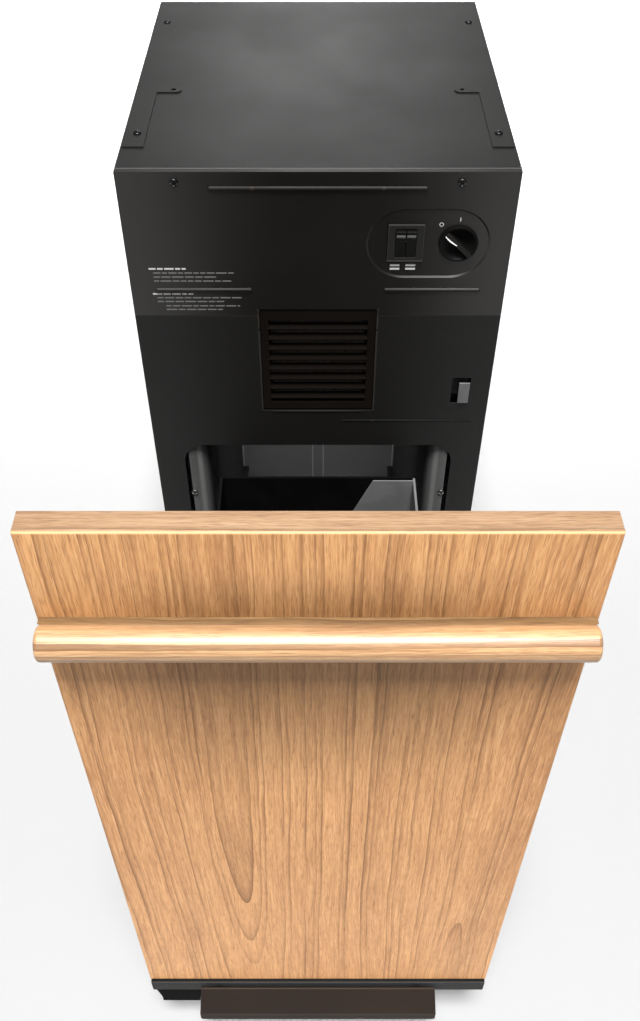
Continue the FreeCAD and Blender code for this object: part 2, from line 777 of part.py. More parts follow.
def build_fasteners():
    screws = [screw(f"top_screw_{i}", "+z", x, y, "high", 8) for i, (x, y) in enumerate(TOP_SCREWS)]
    screws += [
        screw(f"bracket_screw_{i}", "+z", x, y, "high + skin", 8)
        for i, (x, y) in enumerate(BRACKET_SCREWS)
    ]
    screws.append(screw("left_side_screw", "-x", "-half_wide", SIDE_SCREWS[-1], "side_screw_z", 8))
    screws.append(screw("right_side_screw", "+x", "half_wide", SIDE_SCREWS[1], "side_screw_z", 8))
    screws += [screw(f"panel_screw_{i}", "-y", x, 0, z, 8) for i, (x, z) in enumerate(PANEL_SCREWS)]
    node(group("cabinet_screws", screws))
    node(
        group(
            "cover_screws",
            [
                screw(
                    f"cover_screw_{SIDE_NAMES[side]}_{i}", "-y", side * COVER_SCREW_X, "cover_front", z, 8
                )
                for side in SIDES
                for i, z in enumerate(COVER_SCREW_HEIGHTS)
            ],
        )
    )


# ---------------------------------------------------------------- controls
def build_switches():
    frame = box(
        "bezel_frame",
        ("switch_x - bezel_half_wide", "switch_x + bezel_half_wide"),
        (-1.2, "dish_deep"),
        ("switch_z - bezel_half_high", "switch_z + bezel_half_high"),
    )
    sleeve = box(
        "bezel_sleeve",
        ("switch_x - mouth_half_wide - sleeve_wall", "switch_x + mouth_half_wide + sleeve_wall"),
        (-1, 8),
        ("switch_z - mouth_half_high - sleeve_wall", "switch_z + mouth_half_high + sleeve_wall"),
    )
    mouth = box(
        "bezel_mouth",
        ("switch_x - mouth_half_wide", "switch_x + mouth_half_wide"),
        (-3, 9),
        ("switch_z - mouth_half_high", "switch_z + mouth_half_high"),
    )
    reach = "mouth_half_wide + sleeve_wall / 2"
    axle_x = (f"switch_x - ({reach})", f"switch_x + {reach}")
    axle = cylinder("rocker_axle", "rocker_axle_r", "x", axle_x, "rocker_pivot_y", "switch_z")
    node(fuse("switch_bezel", [cut("bezel_shell", fuse("bezel_blank", [frame, sleeve]), [mouth]), axle]))

    for name, side in (("pack_rocker", -1), ("fan_rocker", 1)):
        limits = mirrored(side, "rocker_gap", "rocker_gap + rocker_wide")
        outline = [
            ("-rocker_peak", "rocker_half_high"),
            ("-rocker_waist", 0),
            ("-rocker_peak", "-rocker_half_high"),
            (4, "-rocker_half_high"),
            (4, "rocker_half_high"),
        ]
        block = prism(name + "_block", "x", outline, limits[0], limits[1], local=True)
        bore = cylinder(name + "_bore", "rocker_axle_r + run_gap", "x", (-13, 13), 0, 0, local=True)
        rocker = cut(name, block, [bore])
        rocker.Placement = Placement(Vector(), Rotation(Vector(1, 0, 0), size("rocker_tilt")))
        place(rocker, "switch_x", "rocker_pivot_y", "switch_z")
        node(rocker)

    body = box(
        "switch_body",
        ("switch_x - 12.5", "switch_x + 12.5"),
        (10, 38),
        ("switch_z - 14", "switch_z + 14"),
    )
    terminals = [
        box(
            f"switch_terminal_{i}",
            (f"switch_x - 9.2 + {i} * 6", f"switch_x - 8.4 + {i} * 6"),
            (37, 46),
            ("switch_z - 3", "switch_z + 3"),
        )
        for i in range(4)
    ]
    cradle = box(
        "switch_cradle",
        ("switch_x - 10", "switch_x + 10"),
        (8.4, 11),
        ("switch_z - 1.5", "switch_z + 1.5"),
    )
    node(fuse("rocker_switch_body", [body, cradle] + terminals))


def build_key_knob():
    drum = cylinder("knob_drum", "knob_r", "y", 0, ("-knob_rim", "knob_back"), 0, local=True)
    bowl = doc.addObject("Part::Sphere", "knob_bowl")
    bowl_r = "(cup_r ^ 2 + cup_deep ^ 2) / (2 * cup_deep)"
    bind(bowl, "Radius", bowl_r)
    place(bowl, 0, f"cup_deep - knob_rim - {bowl_r}", 0, local=True)
    shaft = cylinder("knob_shaft", "shaft_r", "y", 0, ("knob_back - 1", "shaft_end"), 0, local=True)
    grip = prism(
        "knob_grip",
        "y",
        [
            ("-grip_half_thick", "-knob_r + 1.5"),
            ("grip_half_thick", "-knob_r + 1.5"),
            ("grip_half_thick", "knob_r - 1.5"),
            ("-grip_half_thick", "knob_r - 1.5"),
        ],
        "-grip_out",
        "knob_back - 1",
        local=True,
    )
    round_edges(grip, "grip_half_thick - 0.1", edge_along("y"))
    knob = fuse("key_knob", [cut("knob_cup", drum, [bowl]), shaft, grip])
    # the grip rests pointing up and to the left
    knob.Placement = Placement(Vector(), Rotation(Vector(0, 1, 0), -45))
    place(knob, "knob_x", 0, "knob_z")
    node(knob)

    case = cylinder("key_case", 13, "y", "knob_x", ("knob_back + 3", "knob_back + 33"), "knob_z")
    collar = cylinder("key_collar", 8, "y", "knob_x", ("knob_back + 1", "knob_back + 4"), "knob_z")
    bore_y = ("knob_back", "shaft_end + 0.5")
    bore = cylinder("key_bore", "shaft_r + run_gap", "y", "knob_x", bore_y, "knob_z")
    tabs = [
        box(
            f"key_tab_{i}",
            (f"knob_x + {x} - 3", f"knob_x + {x} + 3"),
            ("knob_back + 32", "knob_back + 41"),
            ("knob_z - 0.4", "knob_z + 0.4"),
        )
        for i, x in enumerate((-7, 7))
    ]
    node(cut("key_switch_body", fuse("key_blank", [case, collar] + tabs), [bore]))


def build_interlock():
    face = box(
        "flag_face",
        ("flag_x - flag_half", "flag_x + flag_half"),
        ("-flag_out", "-flag_out + 2"),
        ("flag_low", "flag_high"),
    )
    stem = box("flag_stem", ("flag_x - 3", "flag_x + 3"), ("-flag_out", 24), ("stem_z - 3", "stem_z + 3"))
    node(fuse("interlock_plunger", [face, stem]))
    case = box("interlock_case", ("flag_x - 11", "flag_x + 11"), (14, 52), ("stem_z - 13", "stem_z + 13"))
    slot = box(
        "interlock_slot", ("flag_x - 3.3", "flag_x + 3.3"), (13, 34), ("stem_z - 3.3", "stem_z + 3.3")
    )
    bracket = box(
        "interlock_bracket", ("flag_x + 10", "half_wide - 3.4"), (14, 16), ("stem_z - 13", "stem_z + 13")
    )
    node(cut("interlock_switch", fuse("interlock_blank", [case, bracket]), [slot]))


# ---------------------------------------------------------------- filter and fan
def build_filter_door():
    frame = prism(
        "filter_frame",
        "x",
        [
            ("door_front", "door_low + 1.4"),
            ("door_front + 1.4", "door_low"),
            ("door_back", "door_low"),
            ("door_back", "door_high"),
            ("door_front + 0.8", "door_high"),
            ("door_front", "door_high - 0.8"),
        ],
        "-door_half",
        "door_half",
    )
    window = box(
        "grille_window", ("-grille_half", "grille_half"), (-4, 10), ("grille_low", "grille_high")
    )
    shell = cut("filter_shell", frame, [window])
    louvres = []
    louvre_count = round((size("grille_high") - size("louvre_first")) / size("louvre_pitch"))
    for i in range(louvre_count):
        blade = box(
            f"louvre_{i}",
            ("-grille_half - 2", "grille_half + 2"),
            (0, "louvre_deep"),
            (0, "louvre_thick"),
            local=True,
        )
        blade.Placement = Placement(Vector(), Rotation(Vector(1, 0, 0), size("louvre_tilt")))
        place(blade, "-grille_half - 2", "door_front + 0.2", f"louvre_first + {i} * louvre_pitch")
        louvres.append(blade)
    trunnions = [
        cylinder(
            SIDE_NAMES[side] + "_trunnion",
            "hinge_r",
            "x",
            mirrored(side, "door_half - 1", "door_half + hinge_reach"),
            "hinge_y",
            "hinge_z",
        )
        for side in SIDES
    ]
    node(fuse("filter_door", [shell] + louvres + trunnions))


def build_filter_and_fan():
    block = box("filter_block", ("-filter_half", "filter_half"), (9, 24), ("grille_low", "grille_high"))
    pleats = [
        box(
            f"filter_groove_{i}",
            (f"-45 + {i} * 10", f"-40 + {i} * 10"),
            (8, 11),
            ("grille_low + 5", "grille_high - 5"),
        )
        for i in range(9)
    ]
    node(cut("charcoal_filter", block, pleats))

    case = box(
        "fan_case",
        ("-filter_half", "filter_half"),
        ("fan_front", "fan_back"),
        ("fan_z - filter_half", "fan_z + filter_half"),
    )
    duct = cylinder("fan_duct", "fan_r + 2", "y", 0, ("fan_front - 1", "fan_back + 1"), "fan_z")
    spider = [
        box("fan_strut_level", (-48, 48), ("fan_back - 3", "fan_back"), ("fan_z - 2.5", "fan_z + 2.5")),
        box("fan_strut_upright", (-2.5, 2.5), ("fan_back - 3", "fan_back"), ("fan_z - 48", "fan_z + 48")),
        cylinder("fan_mount", "fan_motor_r + 3", "y", 0, ("fan_back - 3", "fan_back"), "fan_z"),
    ]
    shell = cut("fan_shell", case, [duct])
    axle_hole = cylinder("fan_axle_hole", 3, "y", 0, ("fan_back - 5", "fan_back + 5"), "fan_z")
    node(cut("fan_housing", fuse("fan_frame", [shell] + spider), [axle_hole]))

    motor = cylinder("fan_motor_can", "fan_motor_r", "y", 0, ("fan_back", "fan_motor_back"), "fan_z")
    motor_bore = cylinder(
        "fan_motor_bore", "2 + run_gap", "y", 0, ("fan_back - 1", "fan_back + 14"), "fan_z"
    )
    node(cut("fan_motor", motor, [motor_bore]))

    hub = cylinder("fan_hub", "fan_hub_r", "y", 0, (-22, -6), 0, local=True)
    axle = cylinder("fan_axle", 2, "y", 0, (-10, 12), 0, local=True)
    blades = []
    for i in range(FAN_BLADE_COUNT):
        blade = box(
            f"fan_blade_{i}", ("-8", "8"), ("-0.8", "0.8"), ("fan_hub_r - 2", "fan_r - 1"), local=True
        )
        turn = Rotation(Vector(0, 1, 0), 360 * i / FAN_BLADE_COUNT)
        blade.Placement = Placement(Vector(), Rotation(Vector(0, 0, 1), FAN_BLADE_TILT))
        centred = doc.addObject("Part::Compound", f"fan_blade_turned_{i}")
        corner = Rotation(Vector(0, 0, 1), FAN_BLADE_TILT).multVec(Vector(-8, -0.8, 0))
        place(blade, corner.x, corner.y, "fan_hub_r - 2", local=True)
        centred.Links = [blade]
        centred.Placement = Placement(Vector(0, -14, 0), turn)
        blades.append(centred)
    impeller = fuse("fan_impeller", [hub, axle] + blades)
    place(impeller, 0, "fan_back", "fan_z")
    node(impeller)


# ---------------------------------------------------------------- drive and ram
def sprocket(name, bore_radius):
    """A chain wheel in its own frame, centred on the origin, from chain_low upwards."""
    tooth = prism(
        name + "_tooth",
        "z",
        [
            ("sprocket_root_r - 2", -2.4),
            ("sprocket_r", -0.8),
            ("sprocket_r", 0.8),
            ("sprocket_root_r - 2", 2.4),
        ],
        0,
        "chain_high - chain_low",
        local=True,
    )
    teeth = []
    for i in range(DRIVE_TOOTH_COUNT):
        copy = doc.addObject("Part::Compound", f"{name}_tooth_{i}")
        copy.Links = [tooth]
        copy.Placement = Placement(Vector(), Rotation(Vector(0, 0, 1), 360 * i / DRIVE_TOOTH_COUNT))
        teeth.append(copy)
    disc = cylinder(
        name + "_disc", "sprocket_root_r", "z", 0, 0, (0, "chain_high - chain_low"), local=True
    )
    bore = cylinder(
        name + "_bore", bore_radius, "z", 0, 0, (-1, "chain_high - chain_low + 1"), local=True
    )
    return cut(name, fuse(name + "_wheel", [disc] + teeth), [bore])


def build_screws():
    for side in SIDES:
        name = SIDE_NAMES[side]
        x = at_side(side, "screw_x")
        node(cylinder(name + "_power_screw", "screw_r", "z", x, "screw_y", ("screw_low", "screw_high")))
        wheel = sprocket(name + "_screw_sprocket", "screw_r")
        place(wheel, x, "screw_y", "chain_low")
        node(wheel)
    bearings = []
    bushes = []
    for side in SIDES:
        x = at_side(side, "screw_x")
        ring = cylinder(f"bearing_ring_{side}", 17, "z", x, "screw_y", ("plate_high", "chain_low - 0.3"))
        ring_bore = cylinder(
            f"bearing_bore_{side}", "screw_r + run_gap", "z", x, "screw_y", ("plate_low", "chain_high")
        )
        bearings.append(cut(f"bearing_{side}", ring, [ring_bore]))
        flange = cylinder(f"bush_flange_{side}", 20, "z", x, "screw_y", ("foot_high + skin", 19))
        barrel = cylinder(f"bush_barrel_{side}", 14, "z", x, "screw_y", ("foot_high + skin", 34))
        barrel_bore = cylinder(f"bush_bore_{side}", "screw_r + run_gap", "z", x, "screw_y", (16, 40))
        bushes.append(cut(f"bush_{side}", fuse(f"bush_blank_{side}", [flange, barrel]), [barrel_bore]))
    node(group("thrust_bearings", bearings))
    node(group("lower_bushes", bushes))


def build_drive():
    plate = box(
        "drive_plate_web",
        ("-half_wide + 3.4", "half_wide - 3.4"),
        ("plate_front", "deep - skin"),
        ("plate_low", "plate_high"),
    )
    lip = box(
        "drive_plate_lip",
        ("-half_wide + 3.4", "half_wide - 3.4"),
        ("plate_front", "plate_front + 3"),
        (815, "plate_high"),
    )
    holes = [
        cylinder(
            f"plate_hole_{side}",
            12,
            "z",
            at_side(side, "screw_x"),
            "screw_y",
            ("plate_low - 1", "plate_high + 1"),
        )
        for side in SIDES
    ]
    holes.append(cylinder("output_hole", 12, "z", 0, "motor_y", ("plate_low - 1", "plate_high + 1")))
    node(cut("drive_plate", fuse("drive_plate_blank", [plate, lip]), holes))

    posts = []
    for side in SIDES:
        name = SIDE_NAMES[side] + "_post"
        web = box(
            name + "_web",
            mirrored(side, "half_wide - 5.2", "half_wide - 2.7"),
            (156, 254),
            ("foot_high + skin", "plate_low"),
        )
        flanges = [
            box(
                f"{name}_flange_{i}",
                mirrored(side, 172, "half_wide - 4"),
                (y, f"{y} + 2"),
                ("foot_high + skin", "plate_low"),
            )
            for i, y in enumerate((156, 252))
        ]
        posts.append(fuse(name, [web] + flanges))
    node(group("frame_posts", posts))

    case = cylinder("gear_drum", "gear_r", "z", 0, "motor_y", ("gear_low", "plate_low"))
    shoulder = box("gear_shoulder", (-62, 62), ("motor_y - 14", "motor_y + 14"), (824, "plate_low"))
    output_bore = cylinder("output_bore", "output_r + run_gap", "z", 0, "motor_y", (809, 850))
    node(cut("gear_case", fuse("gear_blank", [case, shoulder]), [output_bore]))

    can = cylinder("motor_can", "motor_r", "z", 0, "motor_y", ("motor_low", "gear_low"))
    cap = cylinder("motor_cap", 30, "z", 0, "motor_y", ("motor_low - 8", "motor_low"))
    bands = [
        cylinder(f"motor_band_{i}", "motor_r + 1.5", "z", 0, "motor_y", (z, z + 12))
        for i, z in enumerate((700, 776))
    ]
    node(fuse("drive_motor", [can, cap] + bands))

    wheel = sprocket("drive_wheel", "output_r - 1")
    place(wheel, 0, "motor_y", "chain_low")
    shaft = cylinder("drive_shaft", "output_r", "z", 0, "motor_y", (811, 858))
    node(fuse("drive_sprocket", [wheel, shaft]))

    build_chain()


def build_chain():
    """A closed band round the three sprockets: two offsets of the triangle of their centres."""
    centres = [
        Vector(-size("screw_x"), size("screw_y"), 0),
        Vector(size("screw_x"), size("screw_y"), 0),
        Vector(0, size("motor_y"), 0),
    ]
    loop = Part.makePolygon(centres + centres[:1])
    inner = size("sprocket_r") + size("chain_gap")
    faces = [
        Part.Face(loop.makeOffset2D(offset, 0, False, False, True))
        for offset in (inner, inner + size("chain_thick"))
    ]
    height = size("chain_high") - size("chain_low") - 2
    chain = doc.addObject("Part::Feature", "drive_chain")
    chain.Shape = faces[1].cut(faces[0]).extrude(Vector(0, 0, height))
    place(chain, 0, 0, "chain_low + 1")
    node(chain)


def build_ram():
    block = box("ram_block", ("-ram_half", "ram_half"), ("ram_front", "ram_back"), ("ram_low", "ram_rim"))
    hollow = box(
        "ram_hollow",
        ("-ram_half + 2", "ram_half - 2"),
        ("ram_front + 2", "ram_back - 2"),
        ("ram_low + 3", "ram_rim + 1"),
    )
    ribs = [
        box(
            f"ram_rib_{i}", ("-ram_half + 1", "ram_half - 1"), (y, y + 3), ("ram_low + 1", "ram_rim - 12")
        )
        for i, y in enumerate((90, 300))
    ]
    node(fuse("ram_tray", [cut("ram_shell", block, [hollow])] + ribs))

    top = box(
        "beam_top",
        ("-beam_half", "beam_half"),
        ("beam_front", "beam_back"),
        ("beam_high - 4", "beam_high"),
    )
    cheeks = [
        box(f"beam_cheek_{i}", ("-beam_half", "beam_half"), (low, high), ("beam_low", "beam_high"))
        for i, (low, high) in enumerate(
            (("beam_front", "beam_front + 3"), ("beam_back - 3", "beam_back"))
        )
    ]
    legs = [
        box(
            SIDE_NAMES[side] + "_ram_leg",
            mirrored(side, 98, 103),
            ("beam_front + 1", "beam_back - 1"),
            ("ram_low + 3", "beam_high - 2"),
        )
        for side in SIDES
    ]
    holes = [
        cylinder(
            f"beam_hole_{side}",
            11,
            "z",
            at_side(side, "screw_x"),
            "screw_y",
            ("beam_high - 6", "beam_high + 2"),
        )
        for side in SIDES
    ]
    node(cut("ram_beam", fuse("beam_blank", [top] + cheeks + legs), holes))

    nuts = []
    for side in SIDES:
        x = at_side(side, "screw_x")
        barrel = cylinder(f"nut_barrel_{side}", "nut_r", "z", x, "screw_y", ("nut_low", "beam_high - 4"))
        bore = cylinder(
            f"nut_bore_{side}", "screw_r + run_gap", "z", x, "screw_y", ("nut_low - 1", "beam_high")
        )
        nuts.append(cut(f"nut_{side}", barrel, [bore]))
    node(group("power_nuts", nuts))


def build_screw_covers():
    """Folded covers that close off the power screws, each with a rounded front corner."""
    base = "foot_high + skin"
    for side in SIDES:
        name = SIDE_NAMES[side] + "_screw_cover"
        centre_x = at_side(side, "cover_x + cover_r")
        centre_y = "cover_front + cover_r"
        outer = cylinder(name + "_outer", "cover_r", "z", centre_x, centre_y, (base, "cover_high"))
        inner = cylinder(
            name + "_inner", "cover_r - skin", "z", centre_x, centre_y, ("foot_high", "cover_high + 1")
        )
        quarter = box(
            name + "_quarter",
            mirrored(side, "cover_x", "cover_x + cover_r"),
            ("cover_front", centre_y),
            (base, "cover_high"),
        )
        rounded = common(name + "_rounded", cut(name + "_tube", outer, [inner]), quarter)
        wall = box(
            name + "_wall",
            mirrored(side, "cover_x", "cover_x + skin"),
            (centre_y, "cover_back"),
            (base, "cover_high"),
        )
        rear = box(
            name + "_rear",
            mirrored(side, "cover_x", 140),
            ("cover_back - skin", "cover_back"),
            (base, "cover_high"),
        )
        slot = box(
            name + "_slot",
            mirrored(side, "cover_x - 5", "cover_x + 5"),
            ("arm_gap_front", "arm_gap_back"),
            ("arm_gap_low", "cover_high + 1"),
        )
        holes = [
            shank_hole(f"{name}_hole_{i}", "y", side * COVER_SCREW_X, (0, 9), z)
            for i, z in enumerate(COVER_SCREW_HEIGHTS)
        ]
        node(cut(name, fuse(name + "_blank", [rounded, wall, rear]), [slot] + holes))


# ---------------------------------------------------------------- drawer slides
def channel(name, side, web, flange_x, step, y):
    """One folded slide member: a web and two flanges.

    web and flange_x are limits on x for the right side.
    """
    low = f"slide_low + {step} * slide_step"
    high = f"slide_high - {step} * slide_step"
    return fuse(
        name,
        [
            box(name + "_web", mirrored(side, *web), y, (low, high)),
            box(name + "_lower", mirrored(side, *flange_x), y, (low, f"{low} + slide_wall")),
            box(name + "_upper", mirrored(side, *flange_x), y, (f"{high} - slide_wall", high)),
        ],
    )


def build_slides():
    members = (
        ("slide_outer_members", "0", (126.8, "cover_x"), (119.2, 127), 0),
        ("slide_middle_members", "travel / 2", (124.8, 126), (119.3, 125), 1),
        ("slide_inner_members", "travel", ("cradle_x", "cradle_x + slide_wall"), ("cradle_x", 123.8), 2),
    )
    for name, out, web, flange_x, step in members:
        y = (f"slide_front - {out}", f"slide_back - {out}")
        node(
            group(
                name,
                [channel(f"{SIDE_NAMES[side]}_{name}", side, web, flange_x, step, y) for side in SIDES],
            )
        )


def build_small_fixed_parts():
    bumpers = [
        fuse(
            f"bumper_{side}",
            [
                box(f"bumper_block_{side}", mirrored(side, 128.5, 135.5), (409, "deep - skin"), (77, 98)),
                cylinder(f"bumper_nose_{side}", 3, "y", at_side(side, 132), (407, 410), 87.5),
            ],
        )
        for side in SIDES
    ]
    node(group("rear_bumpers", bumpers))

    gland_flange = cylinder(
        "gland_flange", "gland_flange_r", "y", "gland_x", ("deep", "deep + 2"), "gland_z"
    )
    gland_barrel = cylinder(
        "gland_barrel", "gland_barrel_r", "y", "gland_x", ("deep - 8", "deep + 6"), "gland_z"
    )
    gland_bore = cylinder(
        "gland_bore", "gland_bore_r", "y", "gland_x", ("deep - 10", "deep + 10"), "gland_z"
    )
    node(cut("cord_gland", fuse("gland_blank", [gland_flange, gland_barrel]), [gland_bore]))


# ---------------------------------------------------------------- drawer front
def build_drawer_front():
    panel = prism(
        "wood_panel",
        "y",
        [
            ("-wood_half", "wood_low"),
            ("wood_half", "wood_low"),
            ("wood_half", "wood_high"),
            ("-wood_half", "wood_high"),
        ],
        "-wood_front",
        "-wood_back",
    )
    round_edges(panel, 1.2, lambda edge: edge.BoundBox.YMax < -size("wood_front") + 0.1)
    node(panel)

    bar = doc.addObject("Part::Fillet", "handle_bar")
    bar.Base = cylinder("handle_round", "grip_r", "x", ("-grip_half", "grip_half"), "-grip_y", "grip_z")
    doc.recompute()
    ends = [
        i for i, edge in enumerate(bar.Base.Shape.Edges, 1) if edge.Curve.TypeId == "Part::GeomCircle"
    ]
    bar.Edges = [(i, 3.0, 3.0) for i in ends]
    node(bar)

    rail = box(
        "handle_web",
        ("-grip_half", "grip_half"),
        ("-rail_front", "-wood_front"),
        ("rail_low", "rail_high"),
    )
    seat = cylinder(
        "handle_seat", "grip_r", "x", ("-grip_half - 1", "grip_half + 1"), "-grip_y", "grip_z"
    )
    node(cut("handle_rail", rail, [seat]))

    face = box(
        "pan_face",
        ("-pan_half", "pan_half"),
        ("-wood_back", "-wood_back + skin"),
        ("pan_low", "pan_high"),
    )
    edges = [
        box(
            "pan_top",
            ("-pan_half", "pan_half"),
            ("-wood_back", "-pan_back"),
            ("pan_high - skin", "pan_high"),
        ),
        box(
            "pan_bottom",
            ("-pan_half", "pan_half"),
            ("-wood_back", "-pan_back"),
            ("pan_low", "pan_low + skin"),
        ),
    ]
    edges += [
        box(
            SIDE_NAMES[side] + "_pan_edge",
            mirrored(side, "pan_half - skin", "pan_half"),
            ("-wood_back", "-pan_back"),
            ("pan_low", "pan_high"),
        )
        for side in SIDES
    ]
    striker = box(
        "interlock_striker",
        ("flag_x - 4", "flag_x + 4"),
        ("-wood_back", "-travel - flag_out - 0.5"),
        ("stem_z - 7", "stem_z + 7"),
    )
    node(fuse("door_pan", [face, striker] + edges))

    node(box("inner_door_panel", (-150, 150), ("-pan_back - skin", "-pan_back"), ("pan_low + 2", 500)))

    node(
        prism(
            "toe_strip",
            "x",
            [
                ("-strip_front", "strip_low"),
                ("-wood_back - 0.2", "strip_low"),
                ("-wood_back - 0.2", "strip_low + 2"),
                ("-strip_front + 2", "strip_low + 2"),
                ("-strip_front + 2", "strip_high - 2"),
                ("-wood_back - 0.2", "strip_high - 2"),
                ("-wood_back - 0.2", "strip_high"),
                ("-strip_front", "strip_high"),
            ],
            "-wood_half + 1",
            "wood_half - 1",
        )
    )


def build_pedal():
    plate = prism(
        "pedal_plate",
        "x",
        [
            (-466.5, 121),
            (-480, 79),
            (-480, 62),
            (-478, 62),
            (-478, 78.6),
            (-464.5, 120.4),
        ],
        "-pedal_half",
        "pedal_half",
    )
    round_edges(plate, 4, lambda edge: edge_along("y")(edge) and edge.BoundBox.ZMax < 63)
    trims = [
        prism(
            SIDE_NAMES[side] + "_pedal_trim",
            "y",
            [
                (at_side(side, "pedal_half + 1"), 122),
                (at_side(side, "pedal_half - 3.6"), 122),
                (at_side(side, "pedal_half"), 79),
                (at_side(side, "pedal_half + 1"), 79),
            ],
            -484,
            -463,
        )
        for side in SIDES
    ]
    arms = [
        prism(
            SIDE_NAMES[side] + "_pedal_arm",
            "x",
            [(-452, 101), (-470.6, 104), (-474.6, 92), (-452, 89)],
            *mirrored(side, 110, 118),
        )
        for side in SIDES
    ]
    tube = cylinder("pedal_tube", "pedal_tube_r", "x", (-118, 118), "-pedal_pivot_y", "pedal_pivot_z")
    bore = cylinder(
        "pedal_bore", "pedal_shaft_r + run_gap", "x", (-125, 125), "-pedal_pivot_y", "pedal_pivot_z"
    )
    node(cut("toe_pedal", fuse("pedal_blank", [plate, tube] + arms), [bore] + trims))

    node(cylinder("pedal_shaft", "pedal_shaft_r", "x", (-134, 134), "-pedal_pivot_y", "pedal_pivot_z"))

    crossbar = box("bracket_crossbar", (-139, 134), ("-wood_back - 2", "-wood_back"), ("pan_low", 104))
    ears = [
        box(
            SIDE_NAMES[side] + "_pedal_ear",
            mirrored(side, 130, 134),
            (-459.5, "-wood_back"),
            ("pan_low", 104),
        )
        for side in SIDES
    ]
    side_arm = box("bracket_side_arm", (-139, -134), (-462.8, "-wood_back"), ("pan_low", 104))
    wing = prism(
        "bracket_wing",
        "y",
        [(-184, 106.5), (-180, 86), (-180, 73), (-137, 73), (-137, 106.5)],
        -462.8,
        -461.3,
    )
    hem = box("bracket_hem", (-180, -137), (-462.8, -457), (73, 74.5))
    shaft_hole = cylinder(
        "bracket_shaft_hole", "pedal_shaft_r", "x", (-134, 140), "-pedal_pivot_y", "pedal_pivot_z"
    )
    node(
        cut("pedal_bracket", fuse("bracket_blank", [crossbar, side_arm, wing, hem] + ears), [shaft_hole])
    )

    coil = cylinder("spring_coil", 7.2, "x", (119, 129), "-pedal_pivot_y", "pedal_pivot_z")
    coil_bore = cylinder("spring_bore", 5, "x", (118, 130), "-pedal_pivot_y", "pedal_pivot_z")
    node(cut("pedal_spring", coil, [coil_bore]))


# ---------------------------------------------------------------- refuse container
def build_cradle():
    floor = box(
        "cradle_floor", ("-cradle_x", "cradle_x"), ("-pan_back", -8), ("cradle_low", "cradle_low + skin")
    )
    sides = [
        box(
            SIDE_NAMES[side] + "_cradle_side",
            mirrored(side, "cradle_x - skin", "cradle_x"),
            ("-pan_back", -8),
            ("cradle_low", 102),
        )
        for side in SIDES
    ]
    front = box(
        "cradle_front", ("-cradle_x", "cradle_x"), ("-pan_back", "-pan_back + skin"), ("cradle_low", 160)
    )
    node(fuse("drawer_cradle", [floor, front] + sides))


def build_container():
    inner_x = "bin_half - bin_wall"
    inner_front = "-bin_front + bin_wall"
    inner_back = "-bin_back - bin_wall"
    right_edge = "side_pivot_x - 2"
    walls = [
        box(
            "bin_floor",
            ("-bin_half", "bin_half"),
            ("-bin_front", "-bin_back"),
            ("bin_low", "bin_low + bin_wall"),
        ),
        box(
            "bin_left",
            ("-bin_half", f"-({inner_x})"),
            ("-bin_front", "-bin_back"),
            ("bin_low", "bin_high"),
        ),
        box("bin_right_sill", (inner_x, "bin_half"), ("-bin_front", "-bin_back"), ("bin_low", 104)),
    ]
    for name, y in (("front", ("-bin_front", inner_front)), ("rear", (inner_back, "-bin_back"))):
        walls.append(box(f"bin_{name}_wall", ("-bin_half", right_edge), y, ("bin_low", "bin_high")))
        walls.append(box(f"bin_{name}_ear", (108, 118.6), y, (103, 116)))
    pin_hole = cylinder(
        "bin_pin_hole",
        "side_pin_r",
        "y",
        "side_pivot_x",
        ("-bin_front - 1", "-bin_back + 1"),
        "side_pivot_z",
    )
    node(cut("container", fuse("container_blank", walls), [pin_hole]))

    tube_y = (f"{inner_front} + 0.4", f"{inner_back} - 0.4")
    panel = box(
        "side_panel", (inner_x, "bin_half"), ("-bin_front", "-bin_back"), ("side_low", "side_high")
    )
    web = box("side_web", (inner_x, "bin_half"), tube_y, ("side_pivot_z + 1", "side_low + 1"))
    tube = cylinder("side_tube", "side_tube_r", "y", "side_pivot_x", tube_y, "side_pivot_z")
    wing_outline = [
        (inner_x, "side_low + 4"),
        (inner_x, "side_high"),
        (65.5, "side_high"),
        (42, "side_high - 54"),
        (42, "side_high - 90"),
    ]
    wings = [
        prism(
            "front_wing", "y", wing_outline, f"{inner_front} + wing_gap", f"{inner_front} + wing_inner"
        ),
        prism("rear_wing", "y", wing_outline, f"{inner_back} - wing_inner", f"{inner_back} - wing_gap"),
    ]
    bore = cylinder(
        "side_bore",
        "side_pin_r + run_gap",
        "y",
        "side_pivot_x",
        ("-bin_front", "-bin_back"),
        "side_pivot_z",
    )
    node(cut("container_side", fuse("side_blank", [panel, web, tube] + wings), [bore]))
    node(
        cylinder(
            "side_hinge_pin",
            "side_pin_r",
            "y",
            "side_pivot_x",
            ("-bin_front", "-bin_back"),
            "side_pivot_z",
        )
    )


# ---------------------------------------------------------------- assembly
BUILDERS = (
    build_side_panels,
    build_back_panel,
    build_top_panel,
    build_base_pan,
    build_leveling_feet,
    build_front_frame,
    build_control_panel,
    build_countertop_brackets,
    build_fasteners,
    build_switches,
    build_key_knob,
    build_interlock,
    build_filter_door,
    build_filter_and_fan,
    build_screws,
    build_drive,
    build_ram,
    build_screw_covers,
    build_slides,
    build_small_fixed_parts,
    build_drawer_front,
    build_pedal,
    build_cradle,
    build_container,
)
for builder in BUILDERS:
    builder()
doc.recompute()

broken = [item.Name for item in doc.Objects if {"Invalid", "Error"} & set(item.State)]
broken += [
    part.Name
    for part in nodes if part.Shape.isNull() or not part.Shape.isValid() or not part.Shape.Solids
]
if broken:
    raise RuntimeError("these did not build: " + ", ".join(broken))
if len({part.Label for part in nodes}) != len(nodes):
    raise RuntimeError("two sub-parts share a name")

